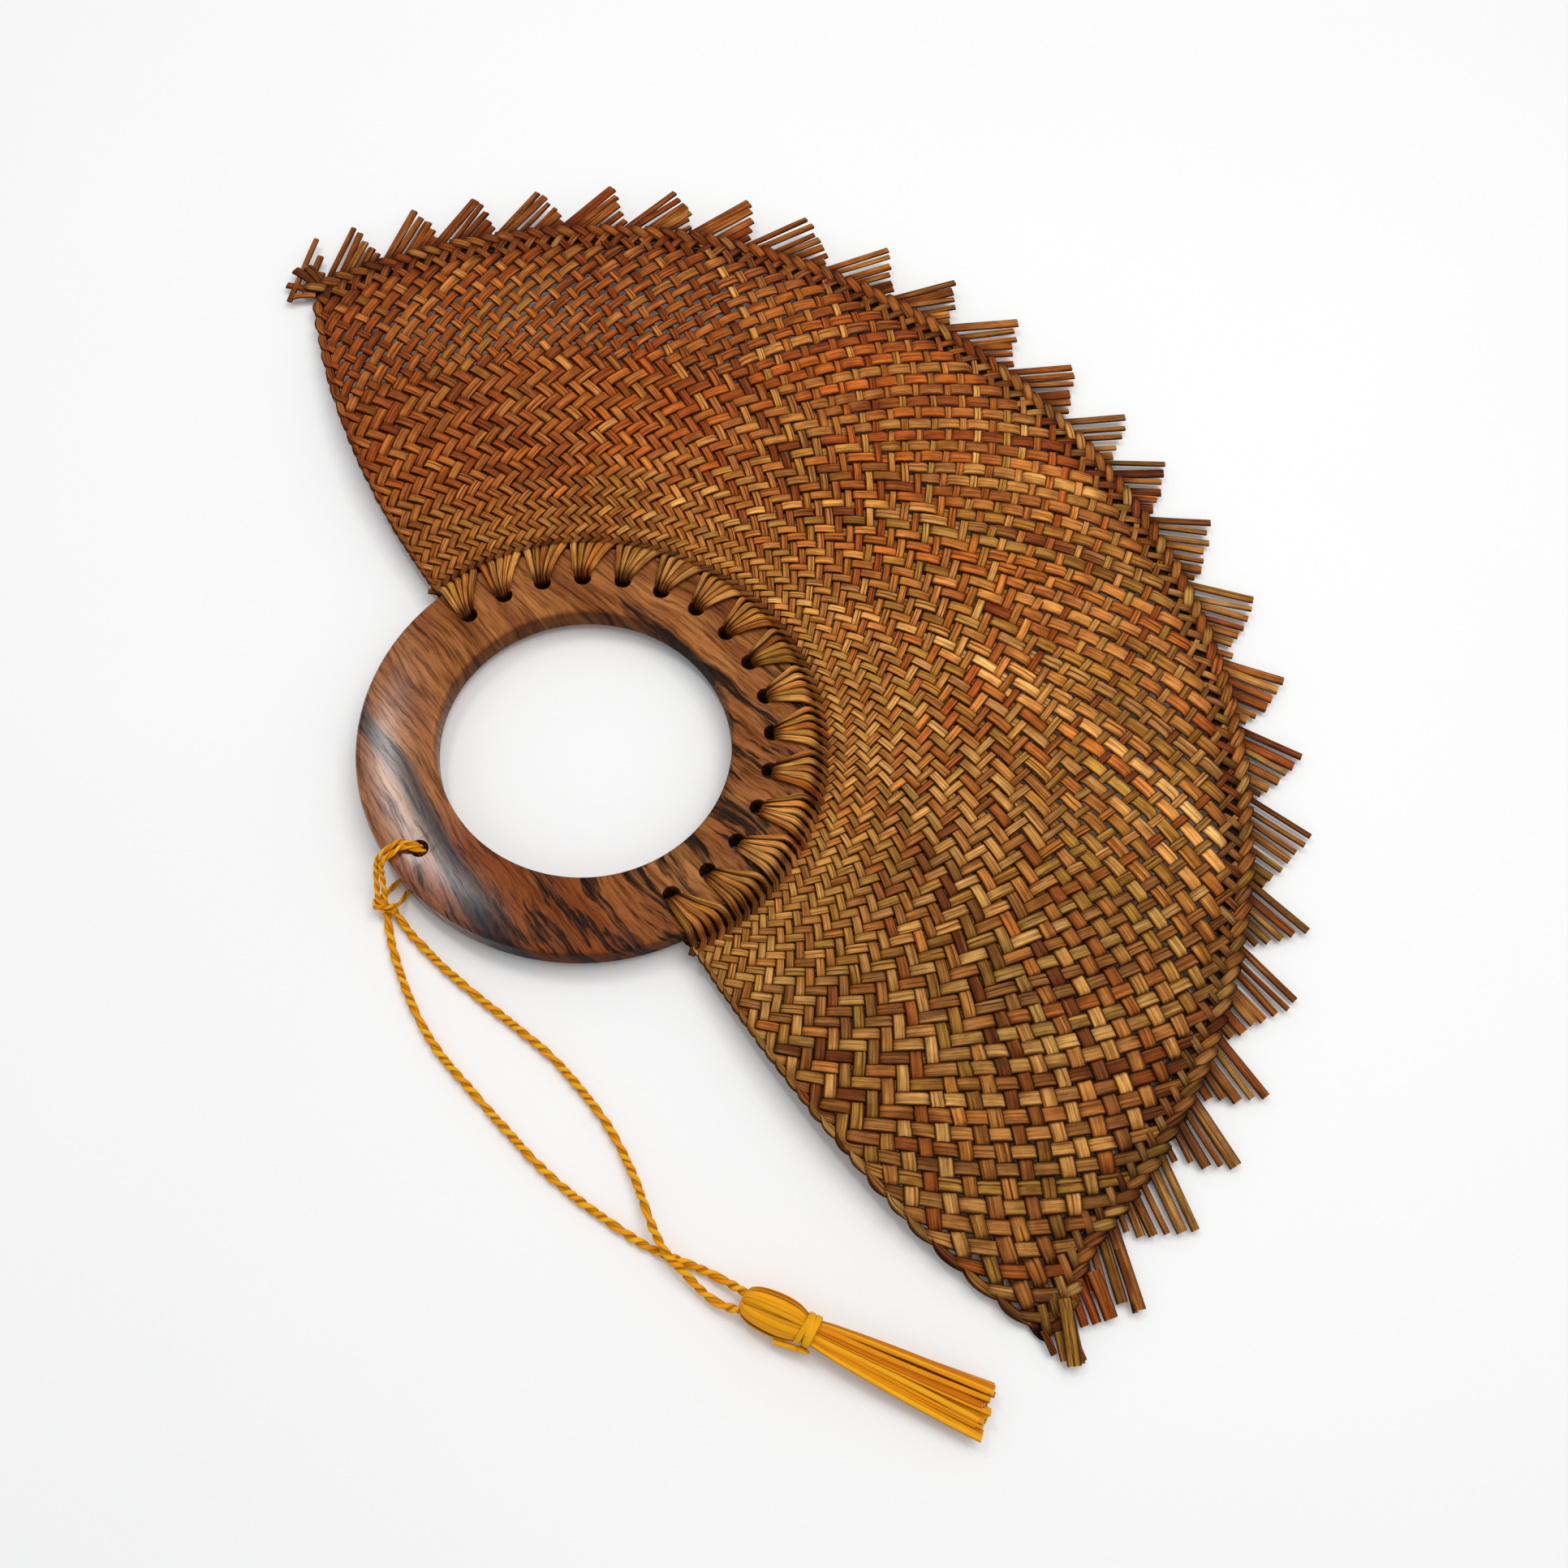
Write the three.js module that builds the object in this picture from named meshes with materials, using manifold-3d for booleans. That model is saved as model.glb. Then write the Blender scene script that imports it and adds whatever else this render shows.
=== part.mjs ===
// A half-round hand fan: reeds laced through a drilled wooden ring, woven into a crescent blade with a plaited border
// and a saw-tooth fringe, and a raffia tassel on a cord loop. It lies flat, the ring's axis up and the crown towards +Y.
// Sizes are in millimetres and degrees. Angles run clockwise from the fan's axis, seen from above.
import * as THREE from 'three';
import { mergeVertices } from 'three/addons/utils/BufferGeometryUtils.js';
import Module from 'manifold-3d';

const wasm = await Module();
wasm.setup();
const { degToRad, lerp, clamp } = THREE.MathUtils;

// Gap between pieces that touch
const clearance = 0.3;

// Ring handle
const ringOuterRadius = 50;
const ringInnerRadius = 32.5;
const ringThickness = 7;
const ringEdgeRadius = 1.2;
const ringSegments = 64;
const ringEdgeSteps = 2;
const holeSides = 12;

// Reed bundles laced through the ring
const bundleCount = 16;
const laceHoleRadius = 2;
const laceHoleCircleRadius = 41.5;
const laceHolePitchAngle = 12.9;
const reedsPerBundle = 5;
const reedThickness = 1;
const reedWidthAtHole = 0.35;
const reedPitchAtHole = 0.45;
const reedGapAtRim = 0.3;
const laceLean = 0.55; // how far the bundle sits from the middle of its hole, towards the rim
const laceDrop = 3; // how far the reeds run past the rim before the weave begins
const tieThickness = 0.6; // glue that holds a bundle together inside its hole

// Woven blade
const bladeOuterRadius = 146.5;
const bladeThickness = 1.8;
const bladeDome = 3.5;
const edgeAngleAtRing = 98.5;
const leftEdgeAngleAtTip = 85.2;
const rightEdgeAngleAtTip = 90.4;
const bladeStepsAcross = 52;
const bladeStepsOut = 8;

// Folded side edges
const selvedgeWidth = 2.6;
const selvedgeThickness = 2.4;
const selvedgeSides = 8;
const selvedgeSteps = 12;

// Plaited border
const borderWidth = 4.2;
const borderThickness = 3;
const borderSides = 8;
const borderSteps = 64;

// Fringe
const reedsInTufts = [3, 5, 5, 5, 6, 5, 6, 5, 7, 6, 6, 6, 6, 5, 6, 7, 7, 6, 6, 7, 5, 7, 5, 5, 6, 5, 5]; // from the left
const fringeStartAngle = -85;
const fringeEndAngle = 90.5;
const tuftBackWidth = 1;
const fringeReedWidth = 1.8;
const fringeThickness = 1;
const fringeLean = 27;
const longestReed = 13.2; // how far the tallest reed of a tuft reaches past the border
const shortestReed = 2.6;
const firstReedShare = 0.42; // a reed's place in its share of the tuft

// Tassel hole and hitch
const tasselHoleRadius = 2;
const tasselHoleCircleRadius = 43.2;
const tasselHoleAngle = 177.1;
const hitchStrandDiameter = 1.3;
const hitchSides = 6;
const hitchStrandSteps = 20;
const hitchBightSteps = 34;

// Tassel cord
const cordDiameter = 2;
const cordSides = 8;
const cordSteps = 32;

// Tassel
const tasselPivot = new THREE.Vector2(119.7, -37.6);
const tasselAngle = 30.9; // from +X towards +Y
const tasselSides = 16;
const headRadius = 4;
const headEndRadius = 3.2;
const headLength = 10.2; // from the pivot to the middle of the binding
const neckRadius = 2.6;
const tasselLift = 4.2; // height of the tassel's axis at its head
const bindingWidth = 2.5;
const bindingThickness = 0.75;
const bindingKnotRadius = 1.2;
const bindingTailLength = 5.6;
const bindingTailWidth = 1.3;
const bindingTailThickness = 0.9;
const bindingKnotAngle = 20; // how far the knot is raised from the side
const skirtLength = 37.6;
const skirtSliceThickness = 1.4;
const skirtStrandCount = 24;
const skirtStartRadius = 2.25;
const skirtEndHalfWidth = 6.2;
const skirtEndHalfHeight = 2.2;
const skirtEndHeight = 2.9; // height of the middle of the skirt's cut end
const skirtFlare = 0.7; // below 1 the strands spread early
const strandSteps = 3;
const strandStart = 0.62;
const strandEndWidth = 1.25;
const strandEndHeight = 0.85;

// Heights and radii that follow from these sizes
const rimBend = (ringEdgeRadius + clearance + reedThickness / 2) / Math.cos(degToRad(30));
const laceBulge = rimBend * Math.sin(degToRad(75)) - ringEdgeRadius;
const ringLift = Math.max(laceBulge + 0.55 * reedThickness, hitchStrandDiameter + clearance);
const ringTop = ringLift + ringThickness;
const ringMiddle = ringLift + ringThickness / 2;
const bladeInnerRadius = ringOuterRadius + laceDrop;
const borderInnerRadius = bladeOuterRadius + clearance;
const borderOuterRadius = borderInnerRadius + borderWidth;
const borderHeight = borderThickness / 2;
const tuftBaseRadius = borderOuterRadius + clearance;

// Colours
const wood = { color: 0x6b3f22, roughness: 0.45, metalness: 0 };
const laceReed = { color: 0x8a6428, roughness: 0.5, metalness: 0 };
const weave = { color: 0x8c5a26, roughness: 0.6, metalness: 0 };
const fringeReed = { color: 0x80512a, roughness: 0.65, metalness: 0 };
const raffia = { color: 0xd9930f, roughness: 0.55, metalness: 0 };

// A closed geometry as a solid that can be joined and cut
function solid(geometry) {
  const bare = geometry.clone();
  bare.deleteAttribute('normal');
  bare.deleteAttribute('uv');
  const merged = mergeVertices(bare, 1e-4);
  return new wasm.Manifold(
    new wasm.Mesh({
      numProp: 3,
      vertProperties: new Float32Array(merged.attributes.position.array),
      triVerts: new Uint32Array(merged.index.array),
    }),
  );
}

function join(geometries) {
  return geometries.map(solid).reduce((whole, piece) => whole.add(piece));
}

function geometryOf(body) {
  const { vertProperties, triVerts } = body.getMesh();
  const geometry = new THREE.BufferGeometry();
  geometry.setAttribute('position', new THREE.BufferAttribute(vertProperties, 3));
  geometry.setIndex(new THREE.BufferAttribute(triVerts, 1));
  return geometry;
}

function node(name, geometry, finish) {
  geometry.computeVertexNormals();
  const mesh = new THREE.Mesh(geometry, new THREE.MeshStandardMaterial(finish));
  mesh.name = name;
  return mesh;
}

// Moves every vertex to the place that the rule gives
function warp(geometry, rule) {
  const position = geometry.attributes.position;
  const vertex = new THREE.Vector3();
  for (let i = 0; i < position.count; i++) {
    const place = rule(vertex.fromBufferAttribute(position, i));
    position.setXYZ(i, place.x, place.y, place.z);
  }
  return geometry;
}

// A point by its radius, its angle in radians clockwise from the fan's axis, and its height
function polar(radius, angle, height) {
  return new THREE.Vector3(radius * Math.sin(angle), radius * Math.cos(angle), height);
}

function total(counts) {
  return counts.reduce((sum, count) => sum + count, 0);
}

function numbered(name, index) {
  return `${name}_${String(index + 1).padStart(2, '0')}`;
}

// Height of the blade's middle layer: level with the ring's middle at the rim, domed, down to the border outside
function bladeHeight(radius) {
  const share = clamp((radius - bladeInnerRadius) / (bladeOuterRadius - bladeInnerRadius), 0, 1);
  return lerp(ringMiddle, borderHeight, share) + bladeDome * Math.sin(Math.PI * share);
}

// Angle of the blade's finished side edge: side is -1 on the left and 1 on the right
function edgeAngle(radius, side) {
  const share = (radius - bladeInnerRadius) / (borderOuterRadius - bladeInnerRadius);
  return side * degToRad(lerp(edgeAngleAtRing, side < 0 ? leftEdgeAngleAtTip : rightEdgeAngleAtTip, share));
}

// Angle of the line just inside a selvedge
function innerEdgeAngle(radius, side) {
  return edgeAngle(radius, side) - (side * (selvedgeWidth + clearance)) / radius;
}

// Angle of a point between the two selvedges, from 0 on the left to 1 on the right
function angleBetweenEdges(radius, share) {
  return lerp(innerEdgeAngle(radius, -1), innerEdgeAngle(radius, 1), share);
}

function laceHoleAngle(index) {
  return degToRad((index - (bundleCount - 1) / 2) * laceHolePitchAngle);
}

function drill(radius, place) {
  const hole = new THREE.CylinderGeometry(radius, radius, 2 * ringThickness, holeSides);
  hole.rotateX(Math.PI / 2);
  hole.translate(place.x, place.y, place.z);
  return solid(hole);
}

// Flat ring with rounded edges, drilled for the lacing and the tassel
function ringHandle() {
  const corners = [
    [ringOuterRadius - ringEdgeRadius, ringLift + ringEdgeRadius, -90],
    [ringOuterRadius - ringEdgeRadius, ringTop - ringEdgeRadius, 0],
    [ringInnerRadius + ringEdgeRadius, ringTop - ringEdgeRadius, 90],
    [ringInnerRadius + ringEdgeRadius, ringLift + ringEdgeRadius, 180],
  ];
  const profile = corners.flatMap(([radius, height, start]) =>
    Array.from({ length: ringEdgeSteps + 1 }, (_, step) => {
      const angle = degToRad(start + (90 * step) / ringEdgeSteps);
      return new THREE.Vector2(
        radius + ringEdgeRadius * Math.cos(angle),
        height + ringEdgeRadius * Math.sin(angle),
      );
    }),
  );
  profile.push(profile[0].clone());
  const blank = new THREE.LatheGeometry(profile, ringSegments);
  blank.rotateX(Math.PI / 2);
  let ring = solid(blank);
  for (let i = 0; i < bundleCount; i++) {
    ring = ring.subtract(drill(laceHoleRadius, polar(laceHoleCircleRadius, laceHoleAngle(i), ringMiddle)));
  }
  const tasselHole = polar(tasselHoleCircleRadius, degToRad(tasselHoleAngle), ringMiddle);
  ring = ring.subtract(drill(tasselHoleRadius, tasselHole));
  return node('ring_handle', geometryOf(ring), wood);
}

// Outline of a strap of even thickness along a path, with mitred folds
function strapShape(path, thickness) {
  const normals = path.slice(1).map((point, i) => {
    const along = point.clone().sub(path[i]).normalize();
    return new THREE.Vector2(-along.y, along.x);
  });
  const side = (sign) =>
    path.map((point, i) => {
      const before = normals[Math.max(i - 1, 0)];
      const after = normals[Math.min(i, normals.length - 1)];
      const mitre = before.clone().add(after).normalize();
      return point.clone().addScaledVector(mitre, (sign * thickness) / 2 / mitre.dot(before));
    });
  return new THREE.Shape([...side(1), ...side(-1).reverse()]);
}

// Path of one folded reed by radius and height: from the weave over the rim, along the ring's top, down the hole and
// back underneath
function lacePath() {
  const bend = (angle) =>
    new THREE.Vector2(
      ringOuterRadius - ringEdgeRadius + rimBend * Math.cos(degToRad(angle)),
      ringTop - ringEdgeRadius + rimBend * Math.sin(degToRad(angle)),
    );
  const above = [
    new THREE.Vector2(bladeInnerRadius - clearance - reedThickness / 2, ringMiddle + (reedThickness + clearance) / 2),
    bend(15),
    bend(75),
    new THREE.Vector2(laceHoleCircleRadius + laceLean, ringTop + clearance + reedThickness / 2),
  ];
  const below = above.map((point) => new THREE.Vector2(point.x, 2 * ringMiddle - point.y)).reverse();
  return [...above, ...below];
}

// One bundle: reeds pinched together in the hole that fan out to their share of the rim
function lacing(index) {
  const rimPitchAngle = degToRad((2 * edgeAngleAtRing) / bundleCount);
  const reedPitchAtRim = (rimPitchAngle * ringOuterRadius) / reedsPerBundle;
  const rimAngle = (index - (bundleCount - 1) / 2) * rimPitchAngle;
  const postRadius = laceHoleCircleRadius + laceLean;
  const outline = strapShape(lacePath(), reedThickness);
  const reeds = Array.from({ length: reedsPerBundle }, (_, k) => {
    const reed = new THREE.ExtrudeGeometry(outline, { depth: 1, steps: 1, bevelEnabled: false });
    const place = k - (reedsPerBundle - 1) / 2;
    return warp(reed, ({ x: radius, y: height, z: across }) => {
      const share = clamp((radius - postRadius) / (ringOuterRadius - postRadius), 0, 1);
      const width = lerp(reedWidthAtHole, reedPitchAtRim - reedGapAtRim, share);
      const offset = place * lerp(reedPitchAtHole, reedPitchAtRim, share) + (across - 0.5) * width;
      return polar(radius, lerp(laceHoleAngle(index), rimAngle, share) + offset / radius, height);
    });
  });
  const bundleWidth = reedsPerBundle * reedPitchAtHole;
  const tie = new THREE.BoxGeometry(bundleWidth, tieThickness, ringThickness - 2 * ringEdgeRadius);
  tie.translate(0, postRadius, ringMiddle);
  tie.rotateZ(-laceHoleAngle(index));
  return node(numbered('lacing', index), geometryOf(join([...reeds, tie])), laceReed);
}

// Domed crescent between the two selvedges
function wovenBlade() {
  const sheet = new THREE.BoxGeometry(1, 1, bladeThickness, bladeStepsAcross, bladeStepsOut, 1);
  warp(sheet, ({ x: across, y: out, z: offset }) => {
    const radius = lerp(bladeInnerRadius, bladeOuterRadius, out + 0.5);
    return polar(radius, angleBetweenEdges(radius, across + 0.5), bladeHeight(radius) + offset);
  });
  return node('woven_blade', sheet, weave);
}

// Rolled edge from the ring to the tip
function selvedge(name, side) {
  const roll = new THREE.CylinderGeometry(1, 1, 1, selvedgeSides, selvedgeSteps);
  warp(roll, ({ x: across, y: out, z: up }) => {
    const radius = lerp(bladeInnerRadius, borderOuterRadius, out + 0.5);
    const middle = edgeAngle(radius, side) - (side * selvedgeWidth) / 2 / radius;
    const angle = middle + (across * selvedgeWidth) / 2 / radius;
    return polar(radius, angle, bladeHeight(radius) + (up * selvedgeThickness) / 2);
  });
  return node(name, roll, weave);
}

// Flat rounded band along the outer arc
function borderPlait() {
  const band = new THREE.CylinderGeometry(1, 1, 1, borderSides, borderSteps);
  band.rotateY(Math.PI / borderSides);
  const flat = Math.cos(Math.PI / borderSides);
  warp(band, ({ x: out, y: along, z: up }) => {
    const radius = borderInnerRadius + (out / flat + 1) * 0.5 * borderWidth;
    return polar(radius, angleBetweenEdges(radius, 0.5 - along), borderHeight * (1 + up / flat));
  });
  return node('border_plait', band, weave);
}

// A comb of cut reed ends on a slice of the border: parallel reeds that lean one way and shorten in steps
function fringeTuft(index) {
  const reedCount = reedsInTufts[index];
  const reedsBefore = total(reedsInTufts.slice(0, index));
  const reedAngle = degToRad(fringeEndAngle - fringeStartAngle) / total(reedsInTufts);
  const startAngle = degToRad(fringeStartAngle) + reedsBefore * reedAngle;
  const combRadius = tuftBaseRadius + tuftBackWidth;
  const gapAngle = clearance / 2 / tuftBaseRadius;
  const outline = [polar(tuftBaseRadius, startAngle + gapAngle, 0), polar(combRadius, startAngle + gapAngle, 0)];
  for (let k = 0; k < reedCount; k++) {
    const baseAngle = startAngle + (k + firstReedShare) * reedAngle;
    const halfAngle = fringeReedWidth / 2 / Math.cos(degToRad(fringeLean)) / combRadius;
    const left = polar(combRadius, baseAngle - halfAngle, 0);
    const right = polar(combRadius, baseAngle + halfAngle, 0);
    const reach = lerp(longestReed, shortestReed, k / (reedCount - 1)) - tuftBackWidth;
    const along = polar(1, baseAngle + degToRad(fringeLean), 0);
    const square = right.clone().sub(left).dot(along);
    const length = reach / Math.cos(degToRad(fringeLean));
    outline.push(left, left.clone().addScaledVector(along, length + square));
    outline.push(right.clone().addScaledVector(along, length), right);
  }
  const endAngle = startAngle + reedCount * reedAngle - gapAngle;
  outline.push(polar(combRadius, endAngle, 0), polar(tuftBaseRadius, endAngle, 0));
  outline.push(polar(tuftBaseRadius, (startAngle + endAngle) / 2, 0));
  const comb = new THREE.ExtrudeGeometry(new THREE.Shape(outline), { depth: fringeThickness, bevelEnabled: false });
  comb.translate(0, 0, borderHeight - fringeThickness / 2);
  return node(numbered('fringe_tuft', index), comb, fringeReed);
}

function tube(points, diameter, sides, steps) {
  const section = new THREE.Shape(
    Array.from({ length: sides }, (_, i) => {
      const angle = (2 * Math.PI * (i + 0.5)) / sides;
      return new THREE.Vector2(Math.cos(angle), Math.sin(angle)).multiplyScalar(diameter / 2);
    }),
  );
  const path = new THREE.CatmullRomCurve3(points, false, 'centripetal');
  return new THREE.ExtrudeGeometry(section, { steps, extrudePath: path, bevelEnabled: false });
}

// A lark's head hitch: both cord legs go up over the rim and down the hole, and the bight comes back under the ring and
// lies across them
function tasselHitch() {
  const hole = polar(tasselHoleCircleRadius, degToRad(tasselHoleAngle), 0);
  const half = hitchStrandDiameter / 2;
  const over = ringTop + clearance + half;
  const under = half + 0.1;
  const place = (x, y, z) => new THREE.Vector3(x, y, z);
  const leftStrand = [
    place(hole.x - half, hole.y + 0.3, ringMiddle),
    place(hole.x - half, hole.y + 0.4, ringTop - 0.3),
    place(0.9, -43.9, over + 0.1),
    place(-1, -46.2, over + 0.2),
    place(-0.9, -48.9, over + 0.35),
    place(-0.6, -51.5, ringTop),
    place(0.6, -53, 6.6),
    place(2.7, -54.4, 4.9),
    place(4.5, -55.4, 3.9),
    place(6.3, -56, 3.4),
    place(8.35, -55.9, 3.05),
  ];
  const rightStrand = [
    place(hole.x + half, hole.y + 0.3, ringMiddle),
    place(hole.x + half, hole.y + 0.4, ringTop - 0.3),
    place(2.1, -44.2, over + 0.1),
    place(0.4, -46.2, over + 0.2),
    place(0.5, -48.6, over + 0.35),
    place(0.7, -51.3, ringTop),
    place(1.8, -52.3, 6.6),
    place(3.7, -53.3, 4.9),
    place(5.4, -54.2, 3.9),
    place(7.2, -55, 3.4),
    place(9.5, -54.1, 3.05),
  ];
  const bight = [
    place(hole.x - half, hole.y - 0.4, ringMiddle),
    place(hole.x - half, hole.y - 0.6, ringLift),
    place(2, -44.8, under),
    place(2.6, -47.5, under),
    place(3.1, -50.4, under),
    place(3.9, -53.3, 1.1),
    place(5.2, -56.6, 3.2),
    place(6.4, -57.1, 3.6),
    place(7.9, -55.3, 4.4),
    place(8.3, -53.2, 2.8),
    place(6.6, -50.4, 0.9),
    place(4.4, -47.4, under),
    place(3.3, -44.9, under),
    place(hole.x + half, hole.y - 0.6, ringLift),
    place(hole.x + half, hole.y - 0.4, ringMiddle),
  ];
  const strands = [leftStrand, rightStrand].map((route) =>
    tube(route, hitchStrandDiameter, hitchSides, hitchStrandSteps),
  );
  const loop = tube(bight, hitchStrandDiameter, hitchSides, hitchBightSteps);
  return node('tassel_hitch', geometryOf(join([...strands, loop])), raffia);
}

// One leg of the cord loop, from the knot to the fold of the tassel
function cordLeg(name, route) {
  const points = route.map(([x, y, z]) => new THREE.Vector3(x, y, z));
  return node(name, tube(points, cordDiameter, cordSides, cordSteps), raffia);
}

// The routes are chosen by eye. The right leg crosses over the left one in a low hump.
const leftLegRoute = [
  [8.8, -56, 1.1],
  [11.8, -57.3, 1.1],
  [15.7, -58.7, 1.1],
  [22.5, -60.4, 1.1],
  [30.5, -61.8, 1.1],
  [39.9, -62.2, 1.1],
  [47.1, -61.4, 1.1],
  [54.5, -60.4, 1.1],
  [62, -59.3, 1.1],
  [73.2, -57.4, 1.1],
  [82, -54.9, 1.1],
  [90.7, -51.6, 1.1],
  [96.9, -49, 1.1],
  [101.2, -46.4, 1.1],
  [107.8, -42.1, 1.4],
  [112.2, -39.8, 2.4],
  [115.95, -38.25, 3.9],
];
const rightLegRoute = [
  [9.9, -54.1, 1.1],
  [13.5, -54, 1.1],
  [18.2, -53.4, 1.1],
  [26.4, -51.8, 1.1],
  [37.2, -48.8, 1.1],
  [47, -45.8, 1.1],
  [54.9, -43.7, 1.1],
  [63.2, -42.6, 1.1],
  [70.4, -42.1, 1.1],
  [77.2, -42.4, 1.2],
  [84.6, -43.5, 1.7],
  [90.5, -44.9, 2.6],
  [96.5, -46.3, 3.5],
  [101, -46.6, 3.6],
  [105.8, -45.8, 3.1],
  [111.5, -44.6, 2.3],
  [115.2, -43, 2.6],
  [117.75, -41.05, 3.7],
];

function revolveAlongX(profile) {
  const body = new THREE.LatheGeometry(
    profile.map(([along, radius]) => new THREE.Vector2(radius, along)),
    tasselSides,
  );
  return body.rotateZ(-Math.PI / 2);
}

// The folded raffia: a round end about the pivot, a belly and a neck that runs into the binding
function tasselHead() {
  const roundEnd = [90, 67.5, 45, 22.5].map((angle) => [
    -headEndRadius * Math.sin(degToRad(angle)),
    angle === 90 ? 0 : headEndRadius * Math.cos(degToRad(angle)),
  ]);
  const belly = [
    [0, headEndRadius],
    [0.2 * headLength, lerp(headEndRadius, headRadius, 0.8)],
    [0.42 * headLength, headRadius],
    [0.65 * headLength, lerp(neckRadius, headRadius, 0.75)],
    [headLength - bindingWidth / 2 - clearance, neckRadius],
    [headLength, neckRadius],
    [headLength, 0],
  ];
  return node('tassel_head', revolveAlongX([...roundEnd, ...belly]), raffia);
}

// Two turns of raffia round the neck, knotted at the side, with a cut tail that points back along the head
function tasselBinding() {
  const inner = neckRadius + clearance;
  const outer = inner + bindingThickness;
  const start = headLength - bindingWidth / 2;
  const turns = revolveAlongX([
    [start, inner],
    [start, lerp(inner, outer, 0.5)],
    [start + bindingWidth * 0.25, outer],
    [start + bindingWidth * 0.5, lerp(inner, outer, 0.6)],
    [start + bindingWidth * 0.75, outer],
    [start + bindingWidth, lerp(inner, outer, 0.5)],
    [start + bindingWidth, inner],
    [start, inner],
  ]);
  const knot = new THREE.SphereGeometry(bindingKnotRadius, 8, 6);
  knot.translate(start + bindingWidth / 2, -inner - bindingKnotRadius, 0);
  const tail = new THREE.BoxGeometry(bindingTailLength, bindingTailThickness, bindingTailWidth);
  tail.translate(start + bindingWidth / 2 - bindingTailLength / 2, -headRadius - clearance - bindingTailThickness / 2, 0);
  for (const piece of [knot, tail]) piece.rotateX(-degToRad(bindingKnotAngle));
  return node('tassel_binding', geometryOf(join([turns, knot, tail])), raffia);
}

// Raffia strands that spread from a slice of the neck to a wide, low cut end
function tasselSkirt() {
  const start = headLength + clearance;
  const slice = new THREE.CylinderGeometry(neckRadius, neckRadius, skirtSliceThickness, tasselSides);
  slice.rotateZ(-Math.PI / 2);
  slice.translate(start + skirtSliceThickness / 2, 0, 0);
  const goldenAngle = Math.PI * (3 - Math.sqrt(5));
  const strands = Array.from({ length: skirtStrandCount }, (_, k) => {
    const distance = Math.sqrt((k + 0.5) / skirtStrandCount);
    const across = distance * Math.cos(k * goldenAngle);
    const up = distance * Math.sin(k * goldenAngle);
    const strand = new THREE.BoxGeometry(1, 1, 1, strandSteps, 1, 1);
    return warp(strand, ({ x: along, y: width, z: height }) => {
      const share = along + 0.5;
      const spread = Math.pow(share, skirtFlare);
      return new THREE.Vector3(
        lerp(start + skirtSliceThickness / 2, start + skirtLength, share),
        across * lerp(skirtStartRadius, skirtEndHalfWidth, spread) + width * lerp(strandStart, strandEndWidth, spread),
        up * lerp(skirtStartRadius, skirtEndHalfHeight, share) +
          height * lerp(strandStart, strandEndHeight, share) -
          share * (tasselLift - skirtEndHeight),
      );
    });
  });
  return node('tassel_skirt', geometryOf(join([slice, ...strands])), raffia);
}

const fan = new THREE.Group();
fan.add(ringHandle());
for (let i = 0; i < bundleCount; i++) fan.add(lacing(i));
fan.add(wovenBlade(), selvedge('selvedge_left', -1), selvedge('selvedge_right', 1), borderPlait());
for (let i = 0; i < reedsInTufts.length; i++) fan.add(fringeTuft(i));

const tassel = new THREE.Group();
tassel.add(tasselHead(), tasselBinding(), tasselSkirt());
tassel.position.set(tasselPivot.x, tasselPivot.y, tasselLift);
tassel.rotation.z = degToRad(tasselAngle);

const cordLoop = new THREE.Group();
cordLoop.add(tasselHitch(), cordLeg('cord_leg_left', leftLegRoute), cordLeg('cord_leg_right', rightLegRoute), tassel);

// The origin is under the middle of the fan, without the cord and its tassel
const middle = new THREE.Box3().setFromObject(fan).getCenter(new THREE.Vector3());
const part = new THREE.Group();
part.add(fan, cordLoop);
part.position.set(-middle.x, -middle.y, 0);

export default part;
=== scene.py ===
import math
import random

import bpy
import numpy as np
from mathutils import Matrix, Vector


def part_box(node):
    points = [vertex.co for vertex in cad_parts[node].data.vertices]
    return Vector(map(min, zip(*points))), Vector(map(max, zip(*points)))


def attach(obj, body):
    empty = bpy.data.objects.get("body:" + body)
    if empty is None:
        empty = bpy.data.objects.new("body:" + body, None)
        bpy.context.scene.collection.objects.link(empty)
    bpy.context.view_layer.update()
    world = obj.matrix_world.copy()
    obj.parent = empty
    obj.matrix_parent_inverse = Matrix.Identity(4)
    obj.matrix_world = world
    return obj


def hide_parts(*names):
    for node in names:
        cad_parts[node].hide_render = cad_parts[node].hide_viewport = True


# A woven reed hand fan with a wooden ring handle and a raffia tassel, lying on a pale table
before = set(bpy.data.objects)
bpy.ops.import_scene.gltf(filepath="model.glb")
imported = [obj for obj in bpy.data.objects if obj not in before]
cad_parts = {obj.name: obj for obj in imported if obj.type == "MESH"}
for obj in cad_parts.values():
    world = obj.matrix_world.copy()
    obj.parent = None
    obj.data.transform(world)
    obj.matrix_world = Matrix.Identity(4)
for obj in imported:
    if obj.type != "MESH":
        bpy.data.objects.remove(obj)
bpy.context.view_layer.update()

MM = 0.001
chance = random.Random(11)
vary = chance.uniform
ring_low, ring_high = (Vector(corner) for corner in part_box("ring_handle"))
ring_middle = (ring_low + ring_high) / 2

# The ring handle. Sizes are in millimetres, from the ring's middle on the table
RING_OUTER = 50.0
RING_INNER = 32.5
RING_THICKNESS = 7.0
RING_HEIGHT = 5.1
RING_EDGE = 1.2
RING_STEPS = 144
LACE_HOLES = 16
LACE_HOLE_PITCH = math.radians(12.9)
LACE_HOLE_CIRCLE = 41.5
LACE_HOLE_RADIUS = 2.0
TASSEL_HOLE = (2.185, -43.145)

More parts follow.
